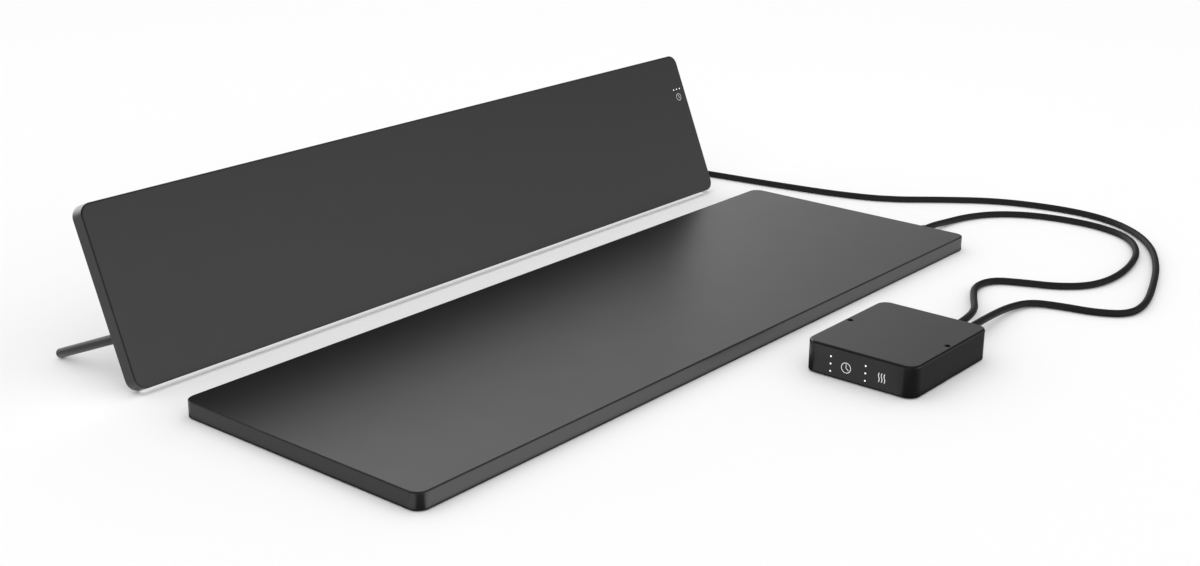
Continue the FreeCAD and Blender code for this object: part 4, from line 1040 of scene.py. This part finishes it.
mark = clock("box_clock", BOX_CLOCK_R, BOX_STROKE)
settle(mark, BOX @ TO_BOX_FACE @ shift((*BOX_CLOCK, 0)), "print_white")
mark = clock("panel_clock", PANEL_CLOCK_R, PANEL_STROKE)
settle(mark, PANEL @ TO_PANEL_FACE, "print_white")
line = heat_line(HEAT_H, HEAT_SWING, HEAT_STROKE)
mark = on_grid("box_heat_lines", line, 3, 1, 2 * HEAT_PITCH, 0)
settle(mark, BOX @ TO_BOX_FACE @ shift((*BOX_HEAT, 0)), "print_white")
bpy.data.objects.remove(line)

# %% [markdown]
# ## Leads
# Two round black leads run from the panel and from the pad to the box. A lead has no straight runs: it is
# one smooth spline through the air and over the desk, thick enough to read as a tube. The control points
# repeat the route of the solids, and the spline cuts inside their corners as a real lead does.

# %% Lead finish
SHEATH_DARK, SHEATH_PALE = 0.013, 0.020
DUST, STREAK, STREAK_DEPTH = 0.004, 0.0009, 0.00002

sheath = new_finish("lead_sheath")
dust = sheath.noise(DUST)
streak = sheath.noise(STREAK, detail=2.0)
sheath.surface(Base_Color=sheath.blend(dust, grey(SHEATH_DARK), grey(SHEATH_PALE)),
               Roughness=dust * 0.10 + 0.45, IOR=1.2,
               Normal=sheath.bump(streak, STREAK_DEPTH, 0.5))
print("lead finish made")

# %% Splines of the two leads
LEAD_R, DESK = 3.2, 3.3
SPLINE_ORDER, SPLINE_STEPS, ROUND_STEPS = 3, 12, 6
PANEL_EXIT, PANEL_LEAD_L = (340, 193.353, 27.637), 1.16
PAD_EXIT, PAD_LEAD_L = (375, -83.444, 7.6), 0.726
PANEL_ROUTE = [
    (340, 188.823, 29.504), (340, 215.08, 18.682), (344, 242.5, 8.9), (355, 259, 4.6), (373, 267.5, DESK),
    (393.5, 265.5, DESK), (410.5, 254, DESK), (419, 234, DESK), (424, 207, DESK), (429, 168, DESK),
    (437.5, 115, DESK), (448, 58, DESK), (466, 6, DESK), (504, -39, DESK), (537, -84, DESK),
    (553, -135, DESK), (556, -186, DESK), (539, -231, DESK), (500, -272, DESK), (442, -303, DESK),
    (380, -325, DESK), (328, -340, DESK), (295, -339, DESK), (280, -315, DESK), (275, -285, DESK),
    (266, -259, 3.6), (237, -252, 5), (196, -255.5, 9.5), (151.65, -261.094, EXIT_Z),
    (121.05, -261.094, EXIT_Z)]
PAD_ROUTE = [
    (370.1, -83.444, 7.6), (400, -83.444, 7.6), (430, -82.5, 3.8), (463, -89, DESK), (493, -106, DESK),
    (514, -136, DESK), (523, -174, DESK), (522, -212, DESK), (506, -248, DESK), (468, -273, DESK),
    (420, -285.5, DESK), (376, -288, DESK), (343, -280, DESK), (322, -258, DESK), (311, -228, DESK),
    (299, -204, DESK), (272, -200, DESK), (235, -219, 6), (196, -241, 10.5), (151.65, -250.094, EXIT_Z),
    (121.05, -250.094, EXIT_Z)]


def lead(name, route):
    """Round lead along one smooth open spline."""
    curve = bpy.data.curves.new(name, "CURVE")
    curve.dimensions = "3D"
    spline = curve.splines.new("NURBS")
    spline.points.add(len(route) - 1)
    for point, place in zip(spline.points, route):
        point.co = (*[c * MM for c in place], 1.0)
    spline.order_u = SPLINE_ORDER
    spline.use_endpoint_u = True
    spline.resolution_u = SPLINE_STEPS
    curve.bevel_depth = LEAD_R * MM
    curve.bevel_resolution = ROUND_STEPS
    curve.use_fill_caps = True
    curve.materials.append(FINISHES["lead_sheath"])
    return new_piece(name, curve)


for name, node, route, exit_mm, length, gland_pieces in (
        ("panel_lead", "panel_cable", PANEL_ROUTE, PANEL_EXIT, PANEL_LEAD_L, []),
        ("pad_lead", "pad_cable", PAD_ROUTE, PAD_EXIT, PAD_LEAD_L, [pad_gland])):
    piece = lead(name, route)
    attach(piece, "desk_set")
    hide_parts(node)
    [c * MM for c in exit_mm]
    print(name, "through", len(route), "points")
